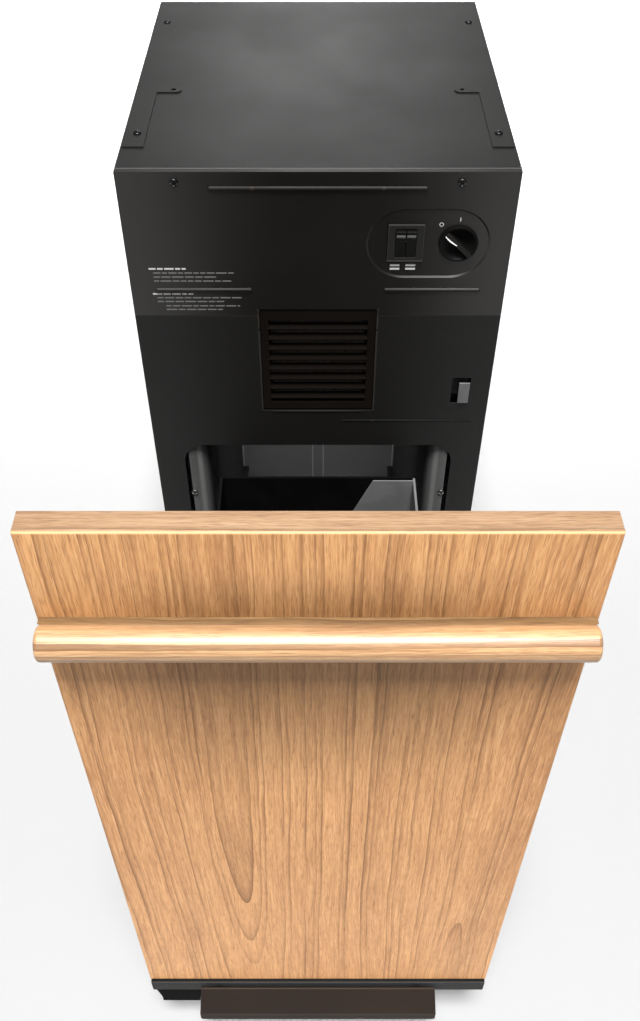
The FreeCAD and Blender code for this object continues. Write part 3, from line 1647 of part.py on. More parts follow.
os.makedirs("parts", exist_ok=True)
for part in nodes:
    part.Shape.exportStep(os.path.join("parts", part.Label + ".step"))
whole = Part.makeCompound([part.Shape for part in nodes]).BoundBox
print(len(nodes), "sub-parts,", f"{whole.XLength:.1f} x {whole.YLength:.1f} x {whole.ZLength:.1f} mm,")
print("origin to centre", f"{whole.Center.x:.2f} {whole.Center.y:.2f}", "lowest", f"{whole.ZMin:.2f}")
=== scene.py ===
import math
import random

import bmesh
import bpy
from mathutils import Matrix, Vector


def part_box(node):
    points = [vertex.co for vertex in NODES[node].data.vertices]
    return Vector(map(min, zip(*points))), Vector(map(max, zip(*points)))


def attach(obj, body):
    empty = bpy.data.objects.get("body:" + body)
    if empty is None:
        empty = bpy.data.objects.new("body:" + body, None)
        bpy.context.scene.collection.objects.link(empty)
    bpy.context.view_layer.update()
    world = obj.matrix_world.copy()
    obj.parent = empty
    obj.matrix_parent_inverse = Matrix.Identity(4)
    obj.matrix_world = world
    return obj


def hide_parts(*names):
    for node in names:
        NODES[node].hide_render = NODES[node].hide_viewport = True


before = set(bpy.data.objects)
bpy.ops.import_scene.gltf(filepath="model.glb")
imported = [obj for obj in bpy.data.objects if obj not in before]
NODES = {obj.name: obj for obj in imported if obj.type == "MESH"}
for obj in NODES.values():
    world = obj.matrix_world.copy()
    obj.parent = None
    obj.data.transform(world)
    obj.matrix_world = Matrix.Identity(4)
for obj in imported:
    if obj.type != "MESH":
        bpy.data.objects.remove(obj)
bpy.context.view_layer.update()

MM = 0.001
SIDE_PANEL_SET_BACK = 1.7 * MM
FRONT_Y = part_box("left_side_panel")[0].y - SIDE_PANEL_SET_BACK  # the cabinet's flat front face
RIB_SURELY_OUT = 0.3 * MM  # anything further forward than this is on a rib or bead
BEAD_INSET = 1.0 * MM  # from the end of the filter door's trunnion back to the middle of the bead
BEAD_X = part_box("filter_door")[1].x - BEAD_INSET
BEAD_REACH = 1.6 * MM


# ---------------------------------------------------------------- shader helpers
class Shader:
    """A material with a Principled shader, and short ways to add what drives it."""

    def __init__(self, material):
        self.material = material
        self.tree = material.node_tree
        self.bsdf = self.tree.nodes["Principled BSDF"]
        coordinates = self.node("ShaderNodeTexCoord")
        self.place = coordinates.outputs["Object"]
        self.facing = coordinates.outputs["Normal"]

    @classmethod
    def new(cls, name, color, roughness, metallic=0.0, **sockets):
        material = bpy.data.materials.new(name)
        material.use_nodes = True
        material.diffuse_color = (*color, 1.0)
        made = cls(material)
        made.set("Base Color", (*color, 1.0))
        made.set("Roughness", roughness)
        made.set("Metallic", metallic)
        for socket, value in sockets.items():
            made.set(socket.replace("_", " "), value)
        return made

    def set(self, socket, value):
        self.bsdf.inputs[socket].default_value = value

    def drive(self, socket, output):
        self.tree.links.new(output, self.bsdf.inputs[socket])

    def node(self, kind, **values):
        made = self.tree.nodes.new(kind)
        for key, value in values.items():
            setattr(made, key, value)
        return made

    def feed(self, node, socket, value):
        """Links an output, or sets a plain value."""
        if isinstance(value, bpy.types.NodeSocket):
            self.tree.links.new(value, node.inputs[socket])
        else:
            node.inputs[socket].default_value = value

    def scaled(self, scale, place=None, shift=(0, 0, 0)):
        mapping = self.node("ShaderNodeMapping")
        self.feed(mapping, "Vector", place or self.place)
        mapping.inputs["Scale"].default_value = scale
        mapping.inputs["Location"].default_value = shift
        return mapping.outputs["Vector"]

    def noise(self, scale, place=None, detail=2.0, rough=0.5, twist=0.0):
        made = self.node("ShaderNodeTexNoise")
        self.feed(made, "Vector", place or self.place)
        made.inputs["Scale"].default_value = scale
        made.inputs["Detail"].default_value = detail
        made.inputs["Roughness"].default_value = rough
        made.inputs["Distortion"].default_value = twist
        return made.outputs["Fac"]

    def cells(self, scale, feature="F1", output="Distance"):
        made = self.node("ShaderNodeTexVoronoi", feature=feature)
        self.feed(made, "Vector", self.place)
        made.inputs["Scale"].default_value = scale
        return made.outputs[output]

    def math(self, operation, first, second=0.5, third=0.5):
        made = self.node("ShaderNodeMath", operation=operation)
        for i, value in enumerate((first, second, third)):
            if i < len(made.inputs):
                self.feed(made, i, value)
        return made.outputs[0]

    def span(self, value, low, high, new_low=0.0, new_high=1.0, smooth=False):
        curve = "SMOOTHSTEP" if smooth else "LINEAR"
        made = self.node("ShaderNodeMapRange", interpolation_type=curve)
        for socket, given in zip(range(5), (value, low, high, new_low, new_high)):
            self.feed(made, socket, given)
        return made.outputs[0]

    def mix(self, factor, first, second, blend="MIX"):
        made = self.node("ShaderNodeMix", data_type="RGBA", blend_type=blend)
        self.feed(made, 0, factor)
        for socket, value in ((6, first), (7, second)):
            self.feed(made, socket, (*value, 1.0) if isinstance(value, tuple) else value)
        return made.outputs[2]

    def apart(self, first, second):
        """The distance between two values."""
        return self.math("ABSOLUTE", self.math("SUBTRACT", first, second))

    def axes(self, place=None):
        made = self.node("ShaderNodeSeparateXYZ")
        self.feed(made, 0, place or self.place)
        return made.outputs

    def joined(self, x, y, z):
        made = self.node("ShaderNodeCombineXYZ")
        for i, value in enumerate((x, y, z)):
            self.feed(made, i, value)
        return made.outputs[0]

    def bump(self, height, distance, strength):
        made = self.node("ShaderNodeBump")
        self.feed(made, "Height", height)
        made.inputs["Distance"].default_value = distance
        made.inputs["Strength"].default_value = strength
        self.drive("Normal", made.outputs[0])


OAK_BODY = (0.505, 0.250, 0.102)
OAK_HONEY = (0.525, 0.272, 0.113)
OAK_PALE = (0.64, 0.370, 0.175)
OAK_BROWN = (0.285, 0.133, 0.055)
OAK_DARK = (0.135, 0.058, 0.024)
# two hearts: metres from the middle, how fast one closes along the grain, from where, and at most
OAK_HEARTS = ((-0.072, -0.07, 0.56, 0.03), (0.150, 0.07, 0.06, 0.016))


def shade(color, factor):
    """The colour with every channel multiplied, and none over 1."""
    return tuple(min(1.0, channel * factor) for channel in color)


def pebble_paint(name, color, roughness, grain=620.0, specular=0.35):
    """Baked paint with the fine raised pebble that hides scratches on sheet metal."""
    s = Shader.new(name, color, roughness, Specular_IOR_Level=specular)
    cells = s.cells(grain, feature="SMOOTH_F1")
    fine = s.noise(grain * 1.7, detail=3.0)
    broad = s.noise(9.0, detail=3.0)
    height = s.math("ADD", s.math("MULTIPLY", cells, 0.75), s.math("MULTIPLY", fine, 0.5))
    tint = s.mix(s.span(fine, 0.3, 0.7), shade(color, 0.72), shade(color, 1.3))
    s.drive("Base Color", s.mix(s.span(broad, 0.35, 0.65, 0.0, 0.5), tint, shade(color, 0.8)))
    uneven = s.math("ADD", fine, broad)
    s.drive("Roughness", s.span(uneven, 0.6, 1.4, roughness - 0.07, roughness + 0.09))
    s.bump(height, 0.00009, 0.8)
    return s.material


def beaded(look, gain, gloss):
    """Adds matt ribs and a painted highlight on the beads to a front panel's paint.

    Ribs go matt, and the upright beads beside the filter door go paler by gain, as a painted highlight
    on their edges. gloss multiplies the shine at the middle and at the side edges.
    """
    s = Shader(look)
    x, y = s.axes()[:2]
    from_middle = s.math("ABSOLUTE", x)
    raised = s.math("LESS_THAN", y, FRONT_Y - RIB_SURELY_OUT)
    beside = s.math("LESS_THAN", s.apart(from_middle, BEAD_X), BEAD_REACH)
    paint = s.bsdf.inputs["Base Color"].links[0].from_socket
    # painted highlight: the beads beside the filter door are made paler
    pale = s.mix(1.0, paint, (gain, gain, gain), "MULTIPLY")
    s.drive("Base Color", s.mix(s.math("MULTIPLY", raised, beside), paint, pale))
    shine = s.bsdf.inputs["Specular IOR Level"].default_value
    polish = s.span(from_middle, 0.05, 0.185, shine * gloss[0], shine * gloss[1], True)
    s.drive("Specular IOR Level", s.math("MULTIPLY", polish, s.span(raised, 0.0, 1.0, 1.0, 0.5)))
    rough = s.bsdf.inputs["Roughness"].links[0].from_socket
    s.drive("Roughness", s.math("ADD", rough, s.math("MULTIPLY", raised, 0.15)))
    return look


def smooth_paint(name, color, roughness, specular):
    """Even paint with a faint orange peel and a little dust."""
    s = Shader.new(name, color, roughness, Specular_IOR_Level=specular)
    peel = s.noise(260.0, detail=1.0)
    dust = s.noise(1900.0, detail=2.0, rough=0.7)
    broad = s.noise(6.0, detail=3.0)
    paint = s.mix(broad, shade(color, 0.85), shade(color, 1.15))
    s.drive("Base Color", s.mix(s.span(dust, 0.62, 0.78, 0.0, 0.35), paint, shade(color, 1.9)))
    uneven = s.math("ADD", broad, s.math("MULTIPLY", dust, 0.4))
    s.drive("Roughness", s.span(uneven, 0.5, 0.9, roughness - 0.05, roughness + 0.08))
    s.bump(peel, 0.00006, 0.5)
    return s.material


def plastic(name, color, roughness=0.42, grain=1500.0, specular=0.35):
    """Moulded plastic: a very fine spark-eroded texture and slow changes of gloss."""
    s = Shader.new(name, color, roughness, Specular_IOR_Level=specular)
    fine = s.noise(grain, detail=2.0, rough=0.6)
    flow = s.noise(22.0, detail=4.0, twist=0.6)
    s.drive("Base Color", s.mix(s.span(flow, 0.35, 0.65), shade(color, 0.86), shade(color, 1.16)))
    uneven = s.math("ADD", flow, s.math("MULTIPLY", fine, 0.5))
    s.drive("Roughness", s.span(uneven, 0.5, 1.0, roughness - 0.06, roughness + 0.1))
    s.bump(fine, 0.00003, 0.6)
    return s.material


def metal(name, color, roughness=0.3, grain=(60.0, 60.0, 2200.0), spangle=0.0, oil=0.0):
    """Bare metal with fine tool or rolling lines.

    grain is how often the lines change along x, y and z. spangle and oil are the strength of a zinc
    spangle and of an oil film.
    """
    s = Shader.new(name, color, roughness, 1.0)
    lines = s.noise(1.0, s.scaled(grain), detail=3.0, rough=0.65)
    broad = s.noise(14.0, detail=4.0)
    tint = s.mix(s.span(lines, 0.3, 0.7), shade(color, 0.8), shade(color, 1.12))
    rough = s.span(s.math("ADD", lines, broad), 0.7, 1.3, roughness - 0.08, roughness + 0.12)
    if spangle:
        flakes = s.cells(130.0, output="Color")
        flake = s.axes(flakes)[0]
        tint = s.mix(s.math("MULTIPLY", flake, spangle), tint, shade(color, 0.62))
        rough = s.math("ADD", rough, s.math("MULTIPLY", flake, 0.16))
    if oil:
        film = s.span(s.noise(30.0, detail=5.0), 0.45, 0.62, 0.0, oil)
        tint = s.mix(film, tint, (0.035, 0.028, 0.02))
        rough = s.math("SUBTRACT", rough, s.math("MULTIPLY", film, 0.1))
    s.drive("Base Color", tint)
    s.drive("Roughness", rough)
    s.bump(lines, 0.00002, 0.5)
    return s.material


def oak(name, along, arris=None, tone=(1.0, 1.0, 1.0), coat=(0.04, 0.3), bar_shade=None):
    """Flat-sawn red oak under a satin lacquer.

    along is the grain's axis, tone multiplies the stain and coat is the lacquer's weight and
    roughness. On a panel, arris is the (y, z) of its top front edge, which is painted pale as a
    highlight, and the strip behind it has its grain across and is painted darker as shade. The
    last argument is the four heights of the painted shadow round the panel's bar: where it starts, is
    full, is still full and ends.
    """
    s = Shader.new(name, OAK_BODY, 0.46, Specular_IOR_Level=0.14)
    s.set("Coat Weight", coat[0])
    s.set("Coat Roughness", coat[1])
    x, y, z = s.axes()[:3]
    if along == "x":
        across, deep, length = z, y, x
    else:
        edge = s.math("GREATER_THAN", s.math("ABSOLUTE", s.axes(s.facing)[2]), 0.7)
        swap = s.node("ShaderNodeMix", data_type="VECTOR")
        s.feed(swap, 0, edge)
        s.feed(swap, 4, s.joined(x, y, z))
        s.feed(swap, 5, s.joined(y, z, x))
        across, deep, length = s.axes(swap.outputs[1])[:3]
    grain = s.joined(across, deep, length)

    # growth rings round two narrow hearts
    slow = s.math("SUBTRACT", s.noise(1.0, s.scaled((6.0, 6.0, 1.3), grain), detail=1.0), 0.5)
    quick = s.math("SUBTRACT", s.noise(1.0, s.scaled((30.0, 30.0, 6.0), grain), detail=2.0), 0.5)
    sway = s.math("ADD", s.math("MULTIPLY", slow, 0.030), s.math("MULTIPLY", quick, 0.007))
    bent = s.math("ADD", across, sway)
    hearts = []
    for centre, closing, at, most in OAK_HEARTS:
        side = s.math("SUBTRACT", bent, centre)
        depth = s.math("MULTIPLY", s.math("SUBTRACT", length, at), closing)
        depth = s.math("MINIMUM", s.math("MAXIMUM", depth, 0.0), most)
        square = s.math("ADD", s.math("MULTIPLY", side, side), s.math("MULTIPLY", depth, depth))
        hearts.append(s.math("SQRT", square))
    radius = s.math("SMOOTH_MIN", hearts[0], hearts[1], 0.015)
    radius = s.math("ADD", radius, s.math("MULTIPLY", deep, 0.3))
    uneven = s.noise(48.0, s.joined(radius, 0.0, 0.0), detail=1.0)
    count = s.math("ADD", s.math("MULTIPLY", radius, 92.0), s.math("MULTIPLY", uneven, 4.0))
    ring = s.math("FRACT", count)
    own_ring = s.joined(s.math("FLOOR", count), s.math("MULTIPLY", length, 0.5), 0.0)
    strength = s.noise(7.0, own_ring, detail=1.0)
    strength = s.span(strength, 0.35, 0.6, 0.3, 1.0)
    late = s.math("MULTIPLY", s.math("POWER", ring, 5.0), strength)
    shadow_side = s.math("MULTIPLY", s.math("POWER", ring, 1.6), strength)

    stretched = s.joined(bent, deep, length)
    streaks = s.noise(1.0, s.scaled((420.0, 420.0, 13.0), stretched), detail=3.0, rough=0.62)
    flecks = s.noise(1.0, s.scaled((1150.0, 1150.0, 55.0), stretched), detail=2.0, rough=0.6)
    pores = s.span(s.noise(1.0, s.scaled((2100.0, 2100.0, 80.0), stretched), detail=1.0), 0.58, 0.7)
    bands = s.noise(1.0, s.scaled((26.0, 26.0, 1.1), stretched, shift=(3.1, 0, 0)), detail=2.0)
    patches = s.noise(1.0, s.scaled((7.0, 7.0, 2.6), stretched, shift=(0, 5.2, 0)), detail=2.0)

    body = s.mix(s.span(patches, 0.35, 0.65), shade(OAK_BODY, 0.93), OAK_HONEY)
    body = s.mix(s.span(bands, 0.52, 0.7, 0.0, 0.42), body, OAK_BROWN)
    body = s.mix(s.span(streaks, 0.52, 0.68, 0.0, 0.55), body, OAK_PALE)
    body = s.mix(s.span(streaks, 0.5, 0.34, 0.0, 0.55), body, OAK_BROWN)
    body = s.mix(s.span(flecks, 0.53, 0.68, 0.0, 0.45), body, OAK_PALE)
    body = s.mix(s.span(flecks, 0.47, 0.34, 0.0, 0.4), body, OAK_BROWN)
    body = s.mix(s.math("MULTIPLY", shadow_side, 0.36), body, OAK_BROWN)
    body = s.mix(s.math("MULTIPLY", late, 0.8), body, OAK_DARK)
    body = s.mix(s.math("MULTIPLY", pores, 0.42), body, OAK_DARK)
    if arris is not None:
        # painted shade: the up-facing strip behind the top edge is darker than the face
        body = s.mix(edge, body, s.mix(1.0, body, (0.52, 0.63, 0.86), "MULTIPLY"))
        # painted highlight: the top front edge is made paler
        off_arris = s.math("ADD", s.apart(y, arris[0]), s.apart(z, arris[1]))
        painted_highlight = s.span(off_arris, 0.0006, 0.0022, 1.0, 0.0)
        body = s.mix(s.math("MULTIPLY", painted_highlight, 0.6), body, shade(OAK_PALE, 1.1))
    # painted shadow: the face is darker round the bar, most of all just below it, less toward the
    # sides
    if bar_shade is not None:
        above = s.span(z, bar_shade[2], bar_shade[3], 1.0, 0.0, True)
        below = s.span(z, bar_shade[0], bar_shade[1], 0.0, 1.0, True)
        middle = s.span(s.math("ABSOLUTE", x), 0.07, 0.17, 1.0, 0.15, True)
        bar_shadow_mask = s.math("MULTIPLY", s.math("MULTIPLY", above, below), middle)
        body = s.mix(bar_shadow_mask, body, s.mix(1.0, body, (0.59, 0.59, 0.58), "MULTIPLY"))
    s.drive("Base Color", s.mix(1.0, body, tone, "MULTIPLY"))
    s.drive("Roughness", s.span(s.math("ADD", late, pores), 0.0, 1.6, 0.36, 0.55))
    hollow = s.math("ADD", s.math("MULTIPLY", pores, 0.8), s.math("MULTIPLY", late, 0.5))
    s.bump(s.math("SUBTRACT", s.math("MULTIPLY", flecks, 0.4), hollow), 0.00012, 0.6)
    return s.material


def highlight_lined_paint(name, color, corners, reach=0.0013, gain=3.4, sides=1.0):
    """Paint with painted highlights along upright lines at the distances in corners from the middle.

    reach is a line's half width and gain is how much paler its painted highlight is. sides multiplies
    the colour of faces that look across, as painted shade.
    """
    s = Shader.new(name, color, 0.5, Specular_IOR_Level=0.25)
    fine = s.noise(700.0, detail=3.0)
    broad = s.noise(5.0, detail=3.0)
    paint = s.mix(s.span(s.math("ADD", fine, broad), 0.7, 1.3), shade(color, 0.75), shade(color, 1.2))
    away = s.math("ABSOLUTE", s.axes()[0])
    # painted highlights: pale upright lines at the given distances from the middle
    for corner in corners:
        near = s.span(s.apart(away, corner), reach * 0.3, reach, 1.0, 0.0)
        paint = s.mix(s.math("MULTIPLY", near, 0.8), paint, shade(color, gain))
    # painted shade: faces that look across take the colour times sides
    across = s.math("ABSOLUTE", s.axes(s.facing)[0])
    paint = s.mix(s.span(across, 0.75, 0.97), paint, shade(color, sides))
    s.drive("Base Color", paint)
    s.drive("Roughness", s.span(fine, 0.3, 0.7, 0.42, 0.6))
    s.bump(fine, 0.00008, 0.6)
    return s.material


def folded(name, color, specular, folds, up_facing_shade=1.0):
    """Painted folded sheet. The last argument multiplies the colour of faces that look up, as painted
    shade.

    folds lists (y, z, reach, gain) for each fold across the sheet where a pale highlight is painted.
    """
    s = Shader.new(name, color, 0.48, Specular_IOR_Level=specular)
    fine = s.noise(900.0, detail=2.0)
    broad = s.noise(6.0, detail=3.0)
    paint = s.mix(s.span(s.math("ADD", fine, broad), 0.7, 1.3), shade(color, 0.82), shade(color, 1.18))
    facing = s.axes(s.facing)[2]
    # painted shade: faces that look up take the colour times the last argument
    paint = s.mix(s.span(facing, 0.45, 0.7), paint, shade(color, up_facing_shade))
    y, z = s.axes()[1:3]
    # painted highlights: pale bands along the given folds
    for fold_y, fold_z, reach, gain in folds:
        away = s.math("MAXIMUM", s.apart(y, fold_y), s.apart(z, fold_z))
        near = s.span(away, reach * 0.6, reach, 1.0, 0.0)
        paint = s.mix(near, paint, shade(color, gain))
    s.drive("Base Color", paint)
    s.drive("Roughness", s.span(fine, 0.3, 0.7, 0.43, 0.56))
    s.bump(fine, 0.00004, 0.5)
    return s.material


def rubber(name):
    """Moulded rubber with a dusty bloom."""
    color = (0.02, 0.02, 0.02)
    s = Shader.new(name, color, 0.8, Specular_IOR_Level=0.25)
    fine = s.noise(1200.0, detail=3.0)
    bloom = s.noise(40.0, detail=4.0)
    s.drive("Base Color", s.mix(s.span(bloom, 0.45, 0.7, 0.0, 0.6), color, shade(color, 2.4)))
    s.drive("Roughness", s.span(fine, 0.3, 0.7, 0.7, 0.92))
    s.bump(fine, 0.00006, 0.7)
    return s.material


def rim_highlit_plastic(name, color, box):
    """Moulded plastic with a painted highlight along its rim, strongest along the foot."""
    s = Shader.new(name, color, 0.45, Specular_IOR_Level=0.3)
    fine = s.noise(1500.0, detail=2.0)
    x, _, z = s.axes()[:3]
    low, high = box
    rim = 0.9 * MM
    side = s.math("MINIMUM", s.math("SUBTRACT", x, low.x), s.math("SUBTRACT", high.x, x))
    foot = s.math("SUBTRACT", z, low.z)
    off_rim = s.math("MINIMUM", s.math("MINIMUM", side, foot), s.math("SUBTRACT", high.z, z))
    paint = s.mix(fine, shade(color, 0.85), shade(color, 1.15))
    # painted highlight: the rim is paler, and the foot paler still
    paint = s.mix(s.span(off_rim, rim * 0.5, rim, 1.0, 0.0), paint, shade(color, 2.6))
    paint = s.mix(s.span(foot, rim, rim * 2.0, 1.0, 0.0), paint, shade(color, 5.5))
    s.drive("Base Color", paint)
    s.drive("Roughness", s.span(fine, 0.3, 0.7, 0.4, 0.55))
    s.bump(fine, 0.00003, 0.6)
    return s.material


def turned_grip(name, color, grip_y):
    """Moulded plastic, painted paler as a highlight where the grip stands in front of grip_y."""
    s = Shader.new(name, color, 0.5, Specular_IOR_Level=0.08)
    fine = s.noise(1500.0, detail=2.0)
    paint = s.mix(fine, shade(color, 0.85), shade(color, 1.15))
    # painted highlight: the grip's front is made paler
    painted_highlight = s.span(s.axes()[1], grip_y, grip_y - 1.2 * MM)
    s.drive("Base Color", s.mix(painted_highlight, paint, shade(color, 4.0)))
    s.drive("Roughness", s.span(fine, 0.3, 0.7, 0.45, 0.6))
    s.bump(fine, 0.00003, 0.6)
    return s.material


def charcoal(name):
    """A mat of carbon grains in a pale web."""
    s = Shader.new(name, (0.03, 0.03, 0.03), 0.95, Specular_IOR_Level=0.2)
    grains = s.cells(420.0, feature="SMOOTH_F1")
    web = s.noise(1500.0, detail=4.0, rough=0.7)
    s.drive("Base Color", s.mix(s.span(web, 0.4, 0.65), (0.020, 0.017, 0.015), (0.11, 0.095, 0.085)))
    s.drive("Roughness", s.span(grains, 0.0, 1.0, 0.8, 1.0))
    s.bump(s.math("ADD", grains, web), 0.0006, 0.8)
    return s.material


def printed(name, color):
    """Screen-printed ink, slightly thin in places."""
    s = Shader.new(name, color, 0.55)
    thin = s.noise(2600.0, detail=3.0, rough=0.7)
    s.drive("Base Color", s.mix(s.span(thin, 0.5, 0.72, 0.0, 0.35), color, shade(color, 0.55)))
    s.drive("Roughness", s.span(thin, 0.3, 0.7, 0.45, 0.65))
    s.bump(thin, 0.00001, 0.4)
    return s.material


def floor_material():
    """A matt floor, all but even."""
    s = Shader.new("floor_pale", (0.33, 0.33, 0.33), 0.9, Specular_IOR_Level=0.05)
    soft = s.noise(2.0, detail=3.0)
    s.drive("Base Color", s.mix(soft, (0.325, 0.325, 0.325), (0.335, 0.335, 0.335)))
    return s.material


COVER_HIGHLIGHT_LINES = (139.5 * MM,)  # the crowns of the two rounded screw covers, where highlights are painted

# looks by the slot that the CAD gives its nodes
LOOKS = {
    "textured_black": pebble_paint("textured_black", (0.0068, 0.0065, 0.0061), 0.46, specular=0.32),
    "control_black": smooth_paint("control_black", (0.0036, 0.0026, 0.0019), 0.42, 0.42),
    "zinc_steel": metal("zinc_steel", (0.45, 0.46, 0.47), 0.38, spangle=0.5),
    "fastener_black": metal("fastener_black", (0.03, 0.03, 0.031), 0.38),
    "fastener_bright": metal("fastener_bright", (0.10, 0.10, 0.095), 0.46),
    "foot_black": rubber("foot_black"),
    "switch_black": plastic("switch_black", (0.0035, 0.0033, 0.0030), 0.42, specular=0.14),
    "switch_case": plastic("switch_case", (0.03, 0.03, 0.033), 0.5),
    "plunger_grey": plastic("plunger_grey", (0.085, 0.085, 0.085), 0.45),
    "grille_brown": folded("grille_brown", (0.0056, 0.0044, 0.0037), 0.0, [], 0.75),
    "carbon": charcoal("carbon"),
    "fan_plastic": plastic("fan_plastic", (0.02, 0.02, 0.022), 0.42),
    "motor_paint": smooth_paint("motor_paint", (0.05, 0.055, 0.06), 0.42, 0.5),
    "gear_casting": metal("gear_casting", (0.5, 0.5, 0.51), 0.52, (700.0, 700.0, 700.0)),
    "screw_steel": metal("screw_steel", (0.48, 0.48, 0.48), 0.26, (40.0, 40.0, 1600.0), oil=0.75),
    "drive_steel": metal("drive_steel", (0.36, 0.36, 0.37), 0.3, oil=0.8),
    "bronze": metal("bronze", (0.52, 0.33, 0.15), 0.36, oil=0.4),
    "ram_steel": pebble_paint("ram_steel", (0.03, 0.03, 0.031), 0.5, 420.0),
    "cover_grey": highlight_lined_paint("cover_grey", (0.060, 0.060, 0.059), COVER_HIGHLIGHT_LINES, 4 * MM, 2.2, 0.12),
    "bumper_rubber": rubber("bumper_rubber"),
    "gland_black": plastic("gland_black", (0.012, 0.012, 0.012), 0.5),
    "door_black": smooth_paint("door_black", (0.014, 0.014, 0.0145), 0.45, 0.3),
    "toe_black": smooth_paint("toe_black", (0.0018, 0.0018, 0.0018), 0.5, 0.01),
    "bin_black": plastic("bin_black", (0.0018, 0.0018, 0.0019), 0.5, 900.0, specular=0.08),
    "bin_grey": plastic("bin_grey", (0.10, 0.101, 0.10), 0.45, 900.0),
    "pin_steel": metal("pin_steel", (0.5, 0.5, 0.5), 0.3),
}
beaded(LOOKS["control_black"], 4.0, (0.75, 1.6))

FRONT_PAINT = pebble_paint("front_black", (0.0062, 0.0059, 0.0055), 0.46, specular=0.17)
WOOD_LOW, WOOD_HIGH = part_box("wood_panel")
WOOD_ARRIS = (WOOD_LOW.y, WOOD_HIGH.z)
WOOD_TONE = (1.06, 1.06, 1.06)
# heights of the painted shadow round the handle bar
WOOD_BAR_SHADE = (0.52, 0.70, 0.795, 0.850)
STRIP_LOW, STRIP_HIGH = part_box("toe_strip")
STRIP_HIGHLIGHT_FOLDS = [(STRIP_LOW.y, STRIP_HIGH.z, 1.1 * MM, 2.4)]
PEDAL_LOW, PEDAL_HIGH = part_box("toe_pedal")
PEDAL_TOP_BACK = 13.5 * MM  # how far the pedal leans back from its lower fold to its top edge
PEDAL_FOLD_Z = 79 * MM
PEDAL_HIGHLIGHT_FOLDS = [
    (PEDAL_LOW.y + PEDAL_TOP_BACK, PEDAL_HIGH.z, 1.2 * MM, 2.6),
    (PEDAL_LOW.y, PEDAL_FOLD_Z, 1.3 * MM, 1.7),
]
BACK_HIGHLIGHT_LINES = (9 * MM, 128 * MM)  # from the middle: the bead's corners and the wall's upright folds, where highlights are painted
GRIP_HIGHLIGHT_OUT = 3 * MM  # further forward than this, the key knob's grip is painted paler as a highlight

# looks of one node each, which take the place of its slot's look
OWN_LOOKS = {
    "wood_panel": oak("oak_face", "z", WOOD_ARRIS, tone=WOOD_TONE, bar_shade=WOOD_BAR_SHADE),
    # the bar's tone is less saturated and cooler than the face's, a painted highlight beside its
    # lacquer's shine
    "handle_bar": oak("oak_bar", "x", tone=(0.82, 0.93, 1.08), coat=(0.7, 0.38)),
    # the low tone darkens the rail's oak as painted shade on its up-facing top
    "handle_rail": oak("oak_rail", "x", tone=(0.33, 0.36, 0.37)),
    "toe_strip": folded("strip_bronze", (0.011, 0.0105, 0.0100), 0.1, STRIP_HIGHLIGHT_FOLDS, 0.12),
    "toe_pedal": folded("pedal_sheet", (0.0160, 0.0110, 0.0083), 0.05, PEDAL_HIGHLIGHT_FOLDS),
    "front_frame": beaded(FRONT_PAINT, 3.2, (0.75, 1.45)),
    "back_panel": highlight_lined_paint("liner_grey", (0.045, 0.045, 0.045), BACK_HIGHLIGHT_LINES),
    "switch_bezel": rim_highlit_plastic("bezel_black", (0.0072, 0.0068, 0.0060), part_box("switch_bezel")),
    "key_knob": turned_grip("knob_black", (0.0028, 0.0027, 0.0025), FRONT_Y - GRIP_HIGHLIGHT_OUT),
    "slide_outer_members": metal("slide_steel", (0.05, 0.05, 0.051), 0.5),
}
INK = printed("ink_white", (0.42, 0.42, 0.41))
INK_BRIGHT = printed("ink_bright", (0.8, 0.8, 0.78))
INK_FAINT = printed("ink_grey", (0.10, 0.10, 0.097))
# pale grey of the painted highlight bars on the rockers
ROCKER_HIGHLIGHT_GREY = printed("rocker_highlight_grey", (0.11, 0.11, 0.107))

for slot_name, look in LOOKS.items():
    for node in NODES.values():
        for held in node.material_slots:
            if held.material != look and held.material.name.split(".")[0] == slot_name:
                held.material = look
for node_name, look in OWN_LOOKS.items():
    NODES[node_name].material_slots[0].material = look


# ---------------------------------------------------------------- softened CAD nodes
WITH_OPENINGS = ("front_frame", "top_panel", "back_panel")
SHALLOW_STEPS = ("control_panel", "filter_door", "pack_rocker", "fan_rocker", "toe_pedal")
ALL_FLAT, LOW_CREASE, CREASE = 0, 12, 32  # degrees under which neighbouring faces are shaded as one
ONE_PLANE = 0.4  # degrees under which they are joined into one face
MERGE_WITHIN = 0.002 * MM


